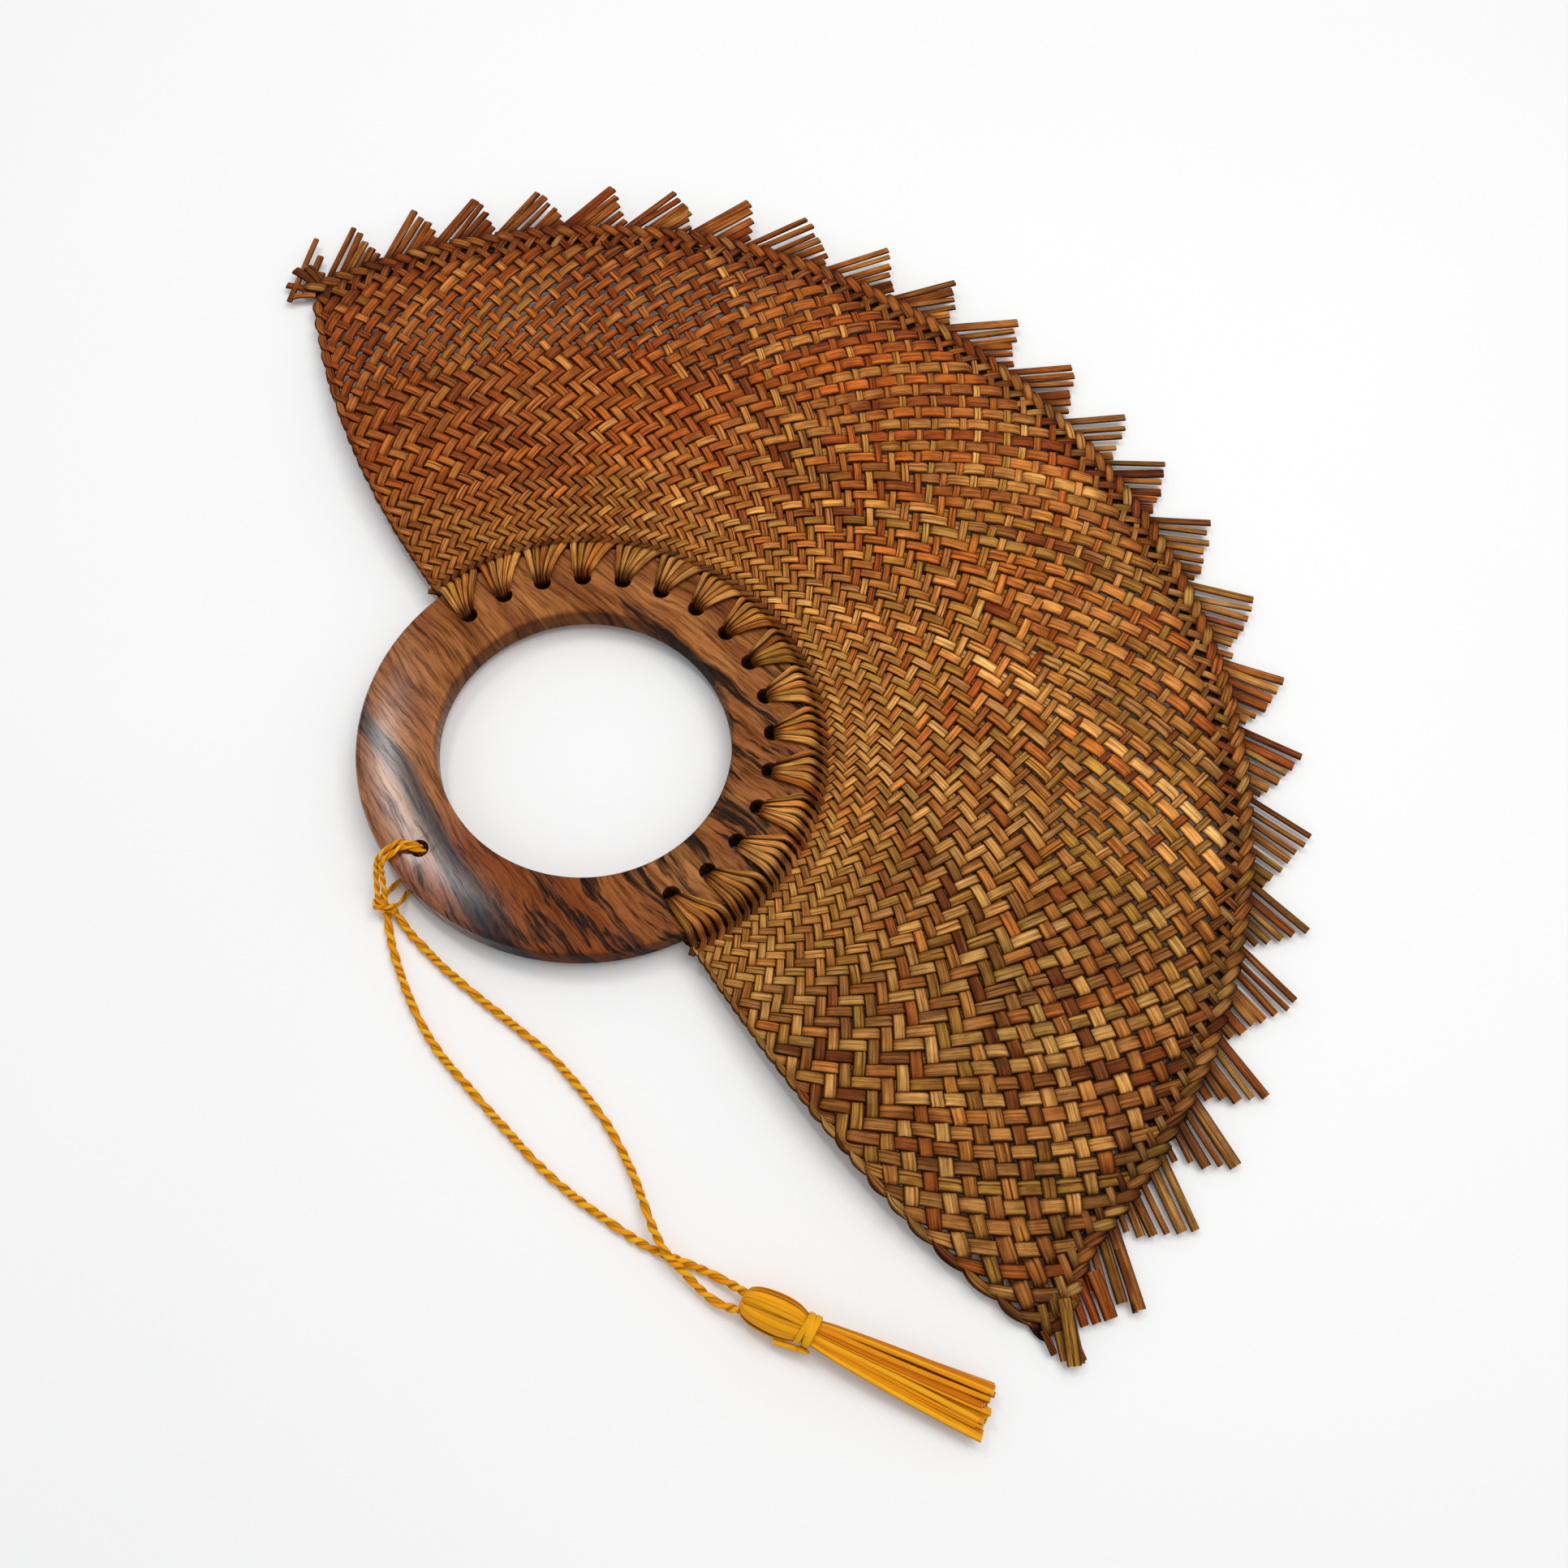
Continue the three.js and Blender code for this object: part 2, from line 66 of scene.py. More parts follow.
# The blade. Its edges are in degrees from the crown
REEDS_PER_HOLE = 5
REEDS = LACE_HOLES * REEDS_PER_HOLE
REED_THICKNESS = 0.5
WEAVE_START = 53.0
WEAVE_END = 146.5
WEAVE_DOME = 3.5
EDGE_AT_RING = 98.5
LEFT_EDGE_AT_TIP = 85.2
RIGHT_EDGE_AT_TIP = 90.4
EDGE_LENGTH = 98.0
REED_PITCH = 2 * math.radians(EDGE_AT_RING) / REEDS
BIAS = 1.047
RIM_LIFT = 4.0
RIM_LIFT_AT = math.radians(-48)
RIM_LIFT_WIDTH = math.radians(27)
CORNER_PULL = 7.5
CORNER_TURN = math.radians(1.5)
CORNER_RADIUS = 150.0

# The rows of the weave, counted outwards from the ring
ROW_STEP = REED_PITCH / (2 * BIAS)
FIRST_ROW = -0.4
ROW_PART = 0.2
PLAIN_FROM = 35
PLAIN_ROW = 2.82
BORDER_ROW = 47
LAST_ROW = 49.4
FOLD = 0.75
FOLD_REACH = 1.1
DIVE_HALF = 0.19
WIDTH_POWER = 10

# The border and the fringe, with the count of reeds in each tuft
BORDER_HEIGHT = 1.5
BORDER_LEAVES = 118
BORDER_START = math.radians(-LEFT_EDGE_AT_TIP)
BORDER_END = math.radians(RIGHT_EDGE_AT_TIP)
SHADE_STRIP_RADIUS = 147.6
LEAF_RADIUS = 149.6
LEAF_OUTERMOST = 151.2
LEAF_HALF = 3.1
LEAF_TILT = 29
STUB_RADIUS = 147.0
STUB_HALF = 2.3
TUFTS = (3, 5, 5, 5, 6, 5, 6, 5, 7, 6, 6, 6, 6, 5, 6, 7, 7, 6, 6, 7, 5, 7, 5, 5, 6, 5, 5)
FRINGE_START = math.radians(-85)
FRINGE_END = math.radians(86.6)
FRINGE_PITCH = math.radians(175.5) / sum(TUFTS)
FRINGE_RADIUS = 152.3
FRINGE_WIDTHS = (1.5, 1.8, 2.0, 2.3, 2.7)
TOOTH = 12.2
SHORTEST_END = 1.6
TOOTH_LEAN = 28
QUARTER = math.radians(90)

# The tassel
TASSEL_PIVOT = (119.7, -37.6)
TASSEL_ANGLE = math.radians(30.9)
TASSEL_HEIGHT = 4.2
HEAD_LENGTH = 10.2
SKIRT_LENGTH = 37.6
SKIRT_STRIPS = 64
SKIRT_TOP_HALF = 2.15
SKIRT_END_HALF = 5.4
SKIRT_END_HEIGHT = 2.75

# The camera, fitted to the photo's ring and outline
PHOTO_PIXELS = 1932
FOCAL_PIXELS = 1900
SENSOR = 36.0
CAMERA_PLACE = (136.2978, -67.2072, 316.8453)
CAMERA_RIGHT = (0.58453, 0.80914, 0.06039)
CAMERA_UP = (-0.75293, 0.51315, 0.41199)


def row_frame(points):
    """Points in millimetres from the ring's middle, as metres in the row frame."""
    return np.asarray(points, float) * MM + np.array([ring_middle.x, ring_middle.y, 0.0])


def at(x, y, z):
    """One such point as a vector."""
    return Vector(row_frame((x, y, z)))


def polar(radius, angle, height):
    """Points at an angle clockwise from the fan's crown."""
    flat = np.broadcast_arrays(radius * np.sin(angle), radius * np.cos(angle), height)
    return np.stack(flat, axis=-1)


def blend(low, high, x):
    """0 at low, 1 at high and an eased way between them, also where low is the larger."""
    t = np.clip((x - low) / (high - low), 0.0, 1.0)
    return t * t * (3 - 2 * t)


def distances(points):
    """How far along a line each of its points lies."""
    return np.concatenate([[0.0], np.cumsum(np.linalg.norm(np.diff(points, axis=0), axis=1))])


def through(points, count):
    """A smooth line of count points through these ones, evenly spaced along it."""
    points = np.asarray(points, float)
    gaps = np.linalg.norm(np.diff(points[:, :3], axis=0), axis=1)
    knots = np.concatenate([[0.0], np.cumsum(np.sqrt(gaps))])
    slopes = np.gradient(points, knots, axis=0)
    fine = np.linspace(0.0, knots[-1], 40 * len(points))
    piece = np.clip(np.searchsorted(knots, fine, side="right") - 1, 0, len(points) - 2)
    span = (knots[piece + 1] - knots[piece])[:, None]
    t = ((fine - knots[piece]) / span[:, 0])[:, None]
    line = (
        (2 * t**3 - 3 * t**2 + 1) * points[piece]
        + (t**3 - 2 * t**2 + t) * span * slopes[piece]
        + (3 * t**2 - 2 * t**3) * points[piece + 1]
        + (t**3 - t**2) * span * slopes[piece + 1]
    )
    run = distances(line[:, :3])
    even = np.linspace(0.0, run[-1], count)
    return np.stack([np.interp(even, run, line[:, k]) for k in range(line.shape[1])], axis=1)


def paint(red, green, blue):
    """A screen colour, as light."""
    values = (red, green, blue)
    return np.array([((c / 255 + 0.055) / 1.055) ** 2.4 if c > 10 else c / 3295 for c in values])


def opaque(colour):
    return (*colour, 1.0)


RED_BROWN = paint(172, 80, 25)
ORANGE_BROWN = paint(198, 108, 38)
TAN = paint(214, 136, 60)
GOLDEN = paint(238, 172, 90)
OLIVE = paint(182, 130, 50)
DARK_BROWN = paint(132, 66, 22)
STRAW = paint(244, 188, 106)
PALE_FIBRE_AND_SHEEN = paint(222, 168, 92)
CUT_END = paint(232, 200, 146)
HOLLOW_SHADE = paint(110, 66, 28)
YELLOW = paint(250, 176, 22)
AMBER = paint(240, 152, 10)
DEEP_AMBER = paint(214, 118, 4)
PALE_YELLOW = paint(246, 204, 92)
WOOD_RED = paint(128, 58, 22)
WOOD_INK = paint(30, 22, 20)
WOOD_BAND = paint(26, 24, 30)
WOOD_STOPS = (
    (0.3, paint(88, 44, 18)),
    (0.44, paint(134, 76, 36)),
    (0.56, paint(162, 100, 52)),
    (0.72, paint(194, 130, 72)),
)
WHITE = (1.0, 1.0, 1.0)
SHADED_TINT = (1.0, 0.73, 0.43)

# The power of a shade for red, green and blue: reed turns redder as it darkens
DEEPENING = np.array([1.0, 1.26, 1.6])


class Value:
    """A number in a shader. Python arithmetic on it adds Math nodes."""

    def __init__(self, tree, socket):
        self.tree = tree
        self.socket = socket

    def maths(self, operation, *terms):
        node = self.tree.nodes.new("ShaderNodeMath")
        node.operation = operation
        for socket, term in zip(node.inputs, terms):
            feed(self.tree, socket, term)
        return Value(self.tree, node.outputs[0])

    def __add__(self, other):
        return self.maths("ADD", self, other)

    def __radd__(self, other):
        return self.maths("ADD", other, self)

    def __sub__(self, other):
        return self.maths("SUBTRACT", self, other)

    def __rsub__(self, other):
        return self.maths("SUBTRACT", other, self)

    def __mul__(self, other):
        return self.maths("MULTIPLY", self, other)

    def __abs__(self):
        return self.maths("ABSOLUTE", self)

    def __mod__(self, other):
        return self.maths("FLOORED_MODULO", self, other)


def feed(tree, socket, value):
    if isinstance(value, Value):
        tree.links.new(value.socket, socket)
    else:
        socket.default_value = value


class Finish:
    """A material and the nodes that give it its look."""

    def __init__(self, name):
        self.material = bpy.data.materials.new(name)
        self.material.use_nodes = True
        self.tree = self.material.node_tree
        self.shader = self.tree.nodes["Principled BSDF"]

    def add(self, kind, settings, sockets, output=0):
        node = self.tree.nodes.new("ShaderNode" + kind)
        for name, value in settings.items():
            if name == "stops":
                ramp = node.color_ramp.elements
                while len(ramp) < len(value):
                    ramp.new(0.5)
                for stop, (place, colour) in zip(ramp, value):
                    stop.position = place
                    stop.color = opaque(colour)
            else:
                setattr(node, name, value)
        for name, value in sockets.items():
            feed(self.tree, node.inputs[name], value)
        return Value(self.tree, node.outputs[output])

    def reed_attribute(self, output=0):
        return self.add("Attribute", {"attribute_name": "reed_colour"}, {}, output)

    def axis(self, place, number=0):
        return self.add("SeparateXYZ", {}, {"Vector": place}, number)

    def mix(self, share, first, second, way="MIX"):
        settings = {"data_type": "RGBA", "blend_type": way}
        return self.add("Mix", settings, {0: share, 6: first, 7: second}, 2)

    def shade(self, colour, level):
        return self.add("VectorMath", {"operation": "SCALE"}, {"Vector": colour, "Scale": level})

    def step(self, value, low, high, out_low=0.0, out_high=1.0):
        sockets = {"Value": value, "From Min": low, "From Max": high, "To Min": out_low, "To Max": out_high}
        return self.add("MapRange", {"interpolation_type": "SMOOTHSTEP"}, sockets)

    def noise(self, place, scale, detail=3.0, roughness=0.55):
        sockets = {"Vector": place, "Scale": scale, "Detail": detail, "Roughness": roughness}
        return self.add("TexNoise", {}, sockets)

    def grain(self, place, stretch, detail=3.0, roughness=0.55):
        """Noise that is drawn out along the place's axes."""
        stretched = self.add("Mapping", {}, {"Vector": place, "Scale": stretch})
        return self.noise(stretched, 1.0, detail, roughness)

    def bump(self, height, strength, distance):
        sockets = {"Height": height, "Strength": strength, "Distance": distance}
        return self.add("Bump", {}, sockets)

    def surface(self, sockets):
        for name, value in sockets.items():
            feed(self.tree, self.shader.inputs[name], value)
        return self.material


def reed_finish(name, roughness, fibre_depth, edge_from=0.52):
    """Dried reed: fine fibres, edges darkened a little by their own tone and mostly by painted shade between
    reeds, a crease down some of them with painted shade along it, and old stains.
    """
    reed = Finish(name)
    colour = reed.reed_attribute()
    kind = reed.reed_attribute(3)
    length = reed.add("UVMap", {"uv_map": "reed_length"}, {})
    across = reed.axis(length) % 1.0
    fibre = reed.grain(length, (6.5, 0.14, 1.0), 4.0, 0.7)
    hair = reed.grain(length, (21.0, 0.4, 1.0), 2.0)
    stain = reed.grain(length, (0.8, 0.45, 1.0), 4.0, 0.6)
    wander = reed.grain(length, (0.01, 0.3, 1.0), 1.0)
    # Painted shade: the edges go nearly black, a little for the reed's own darker edge and mostly for the
    # shade between neighbouring reeds
    edge = reed.step(abs(across - 0.5) * 2.0, edge_from, 0.95)
    crease_place = 0.5 + (kind - 0.72) * 1.1 + (wander - 0.5) * 0.35
    # Painted shade along the crease, which the bump below also sinks
    crease = reed.step(abs(across - crease_place), 0.015, 0.09, 1.0, 0.0) * reed.step(kind, 0.5, 0.62)
    crease = crease * reed.step(stain, 0.36, 0.56)
    level = reed.step(fibre, 0.28, 0.7, 0.3, 1.34) * reed.step(hair, 0.3, 0.7, 0.76, 1.16)
    level = level * (1.0 - edge * 0.96) * (1.0 - crease * 0.76)
    level = level * reed.step(stain, 0.28, 0.66, 0.66, 1.18)
    warmth = reed.mix(reed.step(level, 0.2, 0.9), opaque(SHADED_TINT), opaque(WHITE))
    tinted = reed.mix(1.0, reed.shade(colour, level), warmth, "MULTIPLY")
    # Pale lines along the reed: partly the reed's own pale fibres, partly a painted sheen
    pale_fibre_and_sheen = reed.step(fibre, 0.56, 0.7) * reed.step(kind, 0.1, 0.4) * (1.0 - edge)
    tinted = reed.mix(pale_fibre_and_sheen * 0.24, tinted, opaque(PALE_FIBRE_AND_SHEEN))
    relief = fibre * 0.7 + hair * 0.3 - crease * 0.6
    return reed.surface({
        "Base Color": tinted,
        "Roughness": roughness + fibre * 0.2,
        "Normal": reed.bump(relief, fibre_depth, 0.0004),
        "Specular IOR Level": 0.07,
    })


def raffia_finish():
    """Dyed raffia: waxy yellow strips with fine ribs."""
    raffia = Finish("dyed_raffia_yellow")
    colour = raffia.reed_attribute()
    length = raffia.add("UVMap", {"uv_map": "reed_length"}, {})
    across = raffia.axis(length) % 1.0
    rib = raffia.grain(length, (13.0, 0.3, 1.0), 3.0, 0.6)
    patch = raffia.grain(length, (1.2, 0.5, 1.0), 2.0)
    # Painted shade: the strips' edges are darkened for the shade between neighbouring strips
    edge = raffia.step(abs(across - 0.5) * 2.0, 0.6, 1.0)
    level = (0.46 + rib * 0.64 + patch * 0.3) * (1.0 - edge * 0.6)
    tinted = raffia.shade(colour, level)
    tinted = raffia.mix(raffia.step(rib, 0.6, 0.8) * 0.16, tinted, opaque(PALE_YELLOW))
    return raffia.surface({
        "Base Color": tinted,
        "Roughness": 0.36 + rib * 0.2,
        "Normal": raffia.bump(rib, 0.35, 0.0003),
        "Specular IOR Level": 0.1,
    })


def ring_finish():
    """Oiled hardwood: long grain across the ring, pores, red-brown figure and near-black streaks."""
    wood = Finish("oiled_hardwood")
    to_middle = tuple(-coordinate / MM for coordinate in ring_middle)
    centred = wood.add("Mapping", {}, {
        "Vector": wood.add("TexCoord", {}, {}, 3),
        "Location": to_middle,
        "Scale": (1 / MM, 1 / MM, 1 / MM),
    })
    along = wood.axis(centred, 0)
    side = wood.axis(centred, 1)
    depth = wood.axis(centred, 2)
    sway = wood.grain(centred, (0.02, 0.03, 0.03), 2.0)
    ripple = wood.grain(centred, (0.07, 0.12, 0.1), 3.0)
    across = side - along * (0.12 + side * 0.004) + (sway - 0.5) * 9.0 + (ripple - 0.5) * 3.2 + depth * 0.25
    place = wood.add("CombineXYZ", {}, {"X": along * 0.035, "Y": across, "Z": depth * 0.05})
    bands = wood.grain(place, (1.0, 0.17, 1.0), 3.0, 0.55)
    lines = wood.grain(place, (2.2, 1.1, 1.0), 4.0, 0.65)
    pores = wood.grain(place, (7.0, 5.0, 6.0), 2.0, 0.6)
    figure = wood.grain(place, (1.3, 0.3, 1.0), 4.0, 0.6)
    colour = wood.add("ValToRGB", {"stops": WOOD_STOPS}, {"Fac": bands * 0.6 + lines * 0.4})
    red_side = wood.step(along, -10.0, 14.0) * wood.step(side, 2.0, -22.0)
    colour = wood.mix(red_side * 0.6, colour, opaque(WOOD_RED))
    far_side = wood.step(along, -14.0, 32.0)
    wall_shade = wood.step(abs(depth), 3.4, 2.3)
    # Painted shade: the side away from the window light is a little darker, and the ring's side walls are
    # darkened by half
    colour = wood.shade(colour, (1.0 - far_side * 0.08) * (1.0 - wall_shade * 0.5))
    streaks = wood.step(figure + far_side * 0.12, 0.59, 0.67) * (0.4 + far_side * 0.6)
    top_streak = wood.step(abs(across - 33.2), 0.4, 2.4, 1.0, 0.0) * wood.step(abs(along), 34.0, 18.0)
    broken = wood.step(lines + bands * 0.6, 0.6, 1.0, 1.0, 0.35)
    ink = wood.step((streaks + top_streak) * broken, 0.08, 0.75)
    colour = wood.mix(ink * 0.92, colour, opaque(WOOD_INK))
    main_band = wood.step(abs(across + 38.0), 1.4, 4.2, 1.0, 0.0) * (0.7 + broken * 0.3)
    colour = wood.mix(main_band * 0.96, colour, opaque(WOOD_BAND))
    fine_lines = wood.step(lines, 0.34, 0.54, 0.5, 1.0)
    pore = wood.step(pores, 0.3, 0.44, 0.45, 1.0)
    colour = wood.shade(colour, fine_lines * pore)
    held = wood.step(along * -0.3 + side * -0.95, 20.0, 42.0)
    return wood.surface({
        "Base Color": colour,
        "Roughness": 0.5 + lines * 0.14,
        "Normal": wood.bump(lines * 0.4 + pore * 0.6, 0.35, 0.0005),
        "Coat Weight": fine_lines * pore * (0.02 + held * 0.88),
        "Coat Roughness": 0.19,
        "Specular IOR Level": 0.04,
    })


def sweep_frame(path, up, roll):
    """The ways ahead, to the side and up at each point of a path, rolled about the first."""
    ahead = np.gradient(path, axis=0)
    ahead /= np.linalg.norm(ahead, axis=1)[:, None]
    side = np.cross(ahead, np.broadcast_to(up, path.shape))
    side /= np.linalg.norm(side, axis=1)[:, None]
    lift = np.cross(side, ahead)
    roll = np.broadcast_to(roll, len(path))[:, None]
    turned = side * np.cos(roll) + lift * np.sin(roll)
    return ahead, turned, lift * np.cos(roll) - side * np.sin(roll)


class Reeds:
    """Flat reeds, each swept along its path, in one mesh with their colours and lengths."""

    map_margin = 0.94
    map_lanes = 400
    map_lane_gap = 3
    map_unit = 3

    def __init__(self, shoulder=0.31, sharp=75):
        self.points = []
        self.faces = []
        self.lengths = []
        self.colours = []
        self.total = 0
        self.sharp = math.radians(sharp)
        self.across = np.array([-0.5, -shoulder, 0.0, shoulder, 0.5, shoulder, -shoulder])
        self.rise = np.array([0.0, 0.5, 0.42, 0.5, 0.0, -0.5, -0.5])

    def lay(self, path, width, thickness, colour, roll=0.0, up=(0.0, 0.0, 1.0), hollow=False, kind=None):
        """Adds one reed. A hollow one has a pale cut end, and the kind says if it is creased and where."""
        path = np.asarray(path, float)
        steps = len(path)
        sides = len(self.across)
        ahead, side, lift = sweep_frame(path, up, roll)
        width = np.broadcast_to(width, steps)[:, None, None]
        thickness = np.broadcast_to(thickness, steps)[:, None, None]
        out = side[:, None, :] * self.across[None, :, None] * width
        out = out + lift[:, None, :] * self.rise[None, :, None] * thickness
        rings = path[:, None, :] + out
        along = vary(0, 50) + distances(path)[:, None] / self.map_unit
        lane = self.map_lane_gap * chance.randrange(self.map_lanes)
        across = lane + 0.5 + self.map_margin * self.across[None, :]
        maps = np.stack(np.broadcast_arrays(across, along), axis=-1)
        kind = chance.random() if kind is None else kind
        tint = np.broadcast_to(colour, (steps, 3))
        tint = np.concatenate([tint, np.full((steps, 1), kind)], axis=1)
        tints = np.broadcast_to(tint[:, None, :], (steps, sides, 4))
        if hollow:
            rim = path[-1] + out[-1] * 0.9 + ahead[-1] * 0.14
            inner = path[-1] + out[-1] * 0.45 - ahead[-1] * float(thickness[-1, 0, 0]) * 0.35
            rings = np.concatenate([rings, rim[None], inner[None]])
            maps = np.concatenate([maps, maps[-1:], maps[-1:]])
            # The cut end is pale; the recessed inner ring is painted dark, as painted shade inside the pipe
            cut = np.array([np.append(CUT_END, kind), np.append(HOLLOW_SHADE, kind)])
            tints = np.concatenate([tints, np.broadcast_to(cut[:, None, :], (2, sides, 4))])
        self.skin(rings)
        self.lengths.append(maps.reshape(-1, 2))
        self.colours.append(tints.reshape(-1, 4))

    def skin(self, rings):
        """Joins rings of points by faces and closes both ends."""
        count, sides = rings.shape[:2]
        first = self.total + np.arange(count - 1)[:, None] * sides
        here = np.arange(sides)[None, :]
        following = (here + 1) % sides
        corners = (first + here, first + following, first + sides + following, first + sides + here)
        self.faces.extend(np.stack(corners, axis=-1).reshape(-1, 4).tolist())
        self.faces.append([self.total + k for k in reversed(range(sides))])
        self.faces.append([self.total + (count - 1) * sides + k for k in range(sides)])
        self.points.append(rings.reshape(-1, 3))
        self.total += count * sides

    def make(self, name, material, body, slot, nodes=()):
        """The mesh, which rides on a body and stands for CAD nodes."""
        mesh = bpy.data.meshes.new(name)
        mesh.from_pydata(row_frame(np.concatenate(self.points)), [], self.faces)
        owner = np.zeros(len(mesh.loops), dtype=np.int64)
        mesh.loops.foreach_get("vertex_index", owner)
        layer = mesh.uv_layers.new(name="reed_length")
        layer.data.foreach_set("uv", np.concatenate(self.lengths)[owner].ravel())
        tint = mesh.color_attributes.new("reed_colour", "FLOAT_COLOR", "POINT")
        tint.data.foreach_set("color", np.concatenate(self.colours).ravel())
        mesh.materials.append(material)
        mesh.polygons.foreach_set("use_smooth", np.ones(len(mesh.polygons), dtype=bool))
        mesh.set_sharp_from_angle(angle=self.sharp)
        mesh.update()
        piece = bpy.data.objects.new(name, mesh)
        bpy.context.scene.collection.objects.link(piece)
        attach(piece, body)
        if nodes:
            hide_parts(*nodes)
        return piece


class Cord(Reeds):
    """The same for round strands."""

    def __init__(self):
        super().__init__()
        turn = np.linspace(math.pi, -math.pi, 8, endpoint=False)
        self.across = np.cos(turn) / 2
        self.rise = np.sin(turn) / 2


def row_radius(row):
    """The rows of the twill widen outwards, those of the plain weave are even."""
    row = np.asarray(row, float)
    twill = WEAVE_START * np.exp(np.minimum(row, PLAIN_FROM) * ROW_STEP)
    return twill + np.clip(row - PLAIN_FROM, 0.0, None) * PLAIN_ROW


def rim_lift(radius, angle):
    """The left part of the rim has dried upwards a little."""
    beside = np.exp(-(((angle - RIM_LIFT_AT) / RIM_LIFT_WIDTH) ** 2))
    return RIM_LIFT * beside * blend(112.0, 150.0, radius)


def blade_height(radius, angle):
    """The middle of the domed blade above the table."""
    share = np.clip((radius - WEAVE_START) / (WEAVE_END - WEAVE_START), 0.0, 1.0)
    dome = RING_HEIGHT + (BORDER_HEIGHT - RING_HEIGHT) * share + WEAVE_DOME * np.sin(math.pi * share)
    return dome + rim_lift(radius, angle)


def edge_angle(radius, share):
    """Half the fan's opening at this radius, on the left for share -1 and on the right for share 1."""
    out = (radius - WEAVE_START) / EDGE_LENGTH
    left = EDGE_AT_RING + (LEFT_EDGE_AT_TIP - EDGE_AT_RING) * out
    right = EDGE_AT_RING + (RIGHT_EDGE_AT_TIP - EDGE_AT_RING) * out
    return np.radians(left + (right - left) * blend(-1.0, 1.0, share))


def corner_pull(radius, share):
    """1 at the right corner, which is drawn out to a point, falling to 0 in the weave."""
    return blend(0.88, 1.0, share) * blend(122.0, CORNER_RADIUS, radius)


def weave_place(row, lane, lift):
    """A place in the weave: its row, its lane (-80 to 80 from left to right) and its lift from the middle."""
    radius = row_radius(row)
    share = np.asarray(lane, float) / REEDS
    pull = corner_pull(radius, share)
    angle = share * edge_angle(radius, share) - CORNER_TURN * pull
    return polar(radius + CORNER_PULL * pull, angle, blade_height(radius, angle) + lift)


def on_top(row):
    """1 where the reeds that lean right lie on top: two by two near the ring, one by one further out."""
    if row >= BORDER_ROW:
        return 1 if row == BORDER_ROW else -1
    if row >= PLAIN_FROM:
        return 1 if row % 2 else -1
    return 1 if (row + 1) % 4 < 2 else -1


def reed_colour(share, leaning):
    """One reed's colour: redder on the left, golden and olive on the right."""
    left = float(blend(-0.1, -0.75, share))
    right = float(blend(0.15, 0.7, share))
    weights = [
        (RED_BROWN, 0.2 + 0.34 * left - 0.1 * right + (0.16 if leaning < 0 else -0.08)),
        (ORANGE_BROWN, 0.28 + 0.2 * left - 0.1 * right),
        (TAN, 0.22 - 0.14 * left + 0.04 * right + (0.1 if leaning > 0 else 0)),
        (GOLDEN, 0.18 - 0.16 * left + 0.06 * right),
        (OLIVE, 0.16 - 0.1 * left + 0.2 * right),
        (DARK_BROWN, 0.12 + 0.06 * left + 0.1 * right),
        (STRAW, 0.03 - 0.03 * left if leaning > 0 else 0.0),
    ]
    colours = [colour for colour, _ in weights]
    chosen = chance.choices(colours, [max(weight, 0.01) for _, weight in weights])[0]
    other = chance.choice(colours)
    own = (chosen * 0.72 + other * 0.28) * vary(0.78, 1.12)
    own = own * (1 - 0.3 * left) + (RED_BROWN + ORANGE_BROWN) / 2 * 0.3 * left
    redder = float(blend(0.2, -0.2, share))
    own = own * np.array([0.99, 1.02 - 0.1 * redder, 1.06 - 0.22 * redder])
    # Lighter in two bands across the blade, and darker towards both sides
    lighter = 0.24 * math.exp(-(((share - 0.27) / 0.13) ** 2))
    lighter = lighter + 0.16 * math.exp(-(((share + 0.55) / 0.16) ** 2))
    return own * (1 + lighter - 0.25 * right - 0.14 * left)


def sides_by_row(lane, leaning):
    """At each row, 1 where this reed lies above the one that it crosses and -1 where below."""
    whole = np.arange(0, math.ceil(LAST_ROW) + 2)
    fold = int(REEDS - leaning * 2 * lane)
    over = np.array([leaning * on_top(row) * (1 if row < fold else -1) for row in whole], float)
    if 0 < fold < len(over) - 1:
        over[fold] = (over[fold - 1] + over[fold + 1]) / 2
    return over


def up_and_down(over, rows, dive):
    """The reed's way between its rows, and the bow of a float that spans two of them."""
    low = np.clip(np.floor(rows).astype(int), 0, len(over) - 2)
    part = np.clip(rows - low, 0.0, 1.0)
    here = over[low]
    onward = over[low + 1]
    higher = np.maximum(here, onward)
    lower = np.minimum(here, onward)
    from_top = np.where(here > onward, part, 1 - part)
    wave = higher + (lower - higher) * blend(dive - DIVE_HALF, dive + DIVE_HALF, from_top)
    bow = np.where(here == onward, 0.18 * np.sin(math.pi * part), 0.0) * np.sign(wave)
    return wave, bow


def reed_sizes(rows, radius, share):
    """The widths of reeds that lean right and left, and the room for each."""
    pitch = radius * REED_PITCH * edge_angle(radius, share) / math.radians(EDGE_AT_RING)
    spacing = pitch * np.cos(np.arctan2(pitch / 2, np.gradient(radius, rows)))
    right = blend(0.35, 0.8, share)
    left = blend(-0.15, -0.6, share)
    loose = np.exp(-(((share - 0.45) / 0.06) ** 2))
    loose = loose + 1.5 * blend(-0.3, -0.55, share) * blend(34.0, 37.0, rows) * blend(46.0, 43.0, rows)
    wide = 3.7 - 0.3 * right - 0.6 * left - 0.4 * loose
    narrow = 1.95 + 1.25 * right + 0.6 * left - 0.35 * loose
    return wide, narrow, spacing


def drifting_colour(rows, radius, share, leaning):
    """A colour that drifts along the reed, golden and olive beside the ring."""
    drift = 0.5 + 0.5 * np.sin(rows * vary(0.12, 0.4) + vary(0, 6))
    drift = drift[:, None]
    shades = reed_colour(share, leaning) * (1 - drift) + reed_colour(share, leaning) * drift
    near_ring = (0.4 * (1 - blend(55, 82, radius)))[:, None]
    dim = 1 - 0.3 * float(blend(0.1, -0.5, share))
    return shades * (1 - near_ring) + (0.55 * GOLDEN + 0.45 * OLIVE) * dim * near_ring


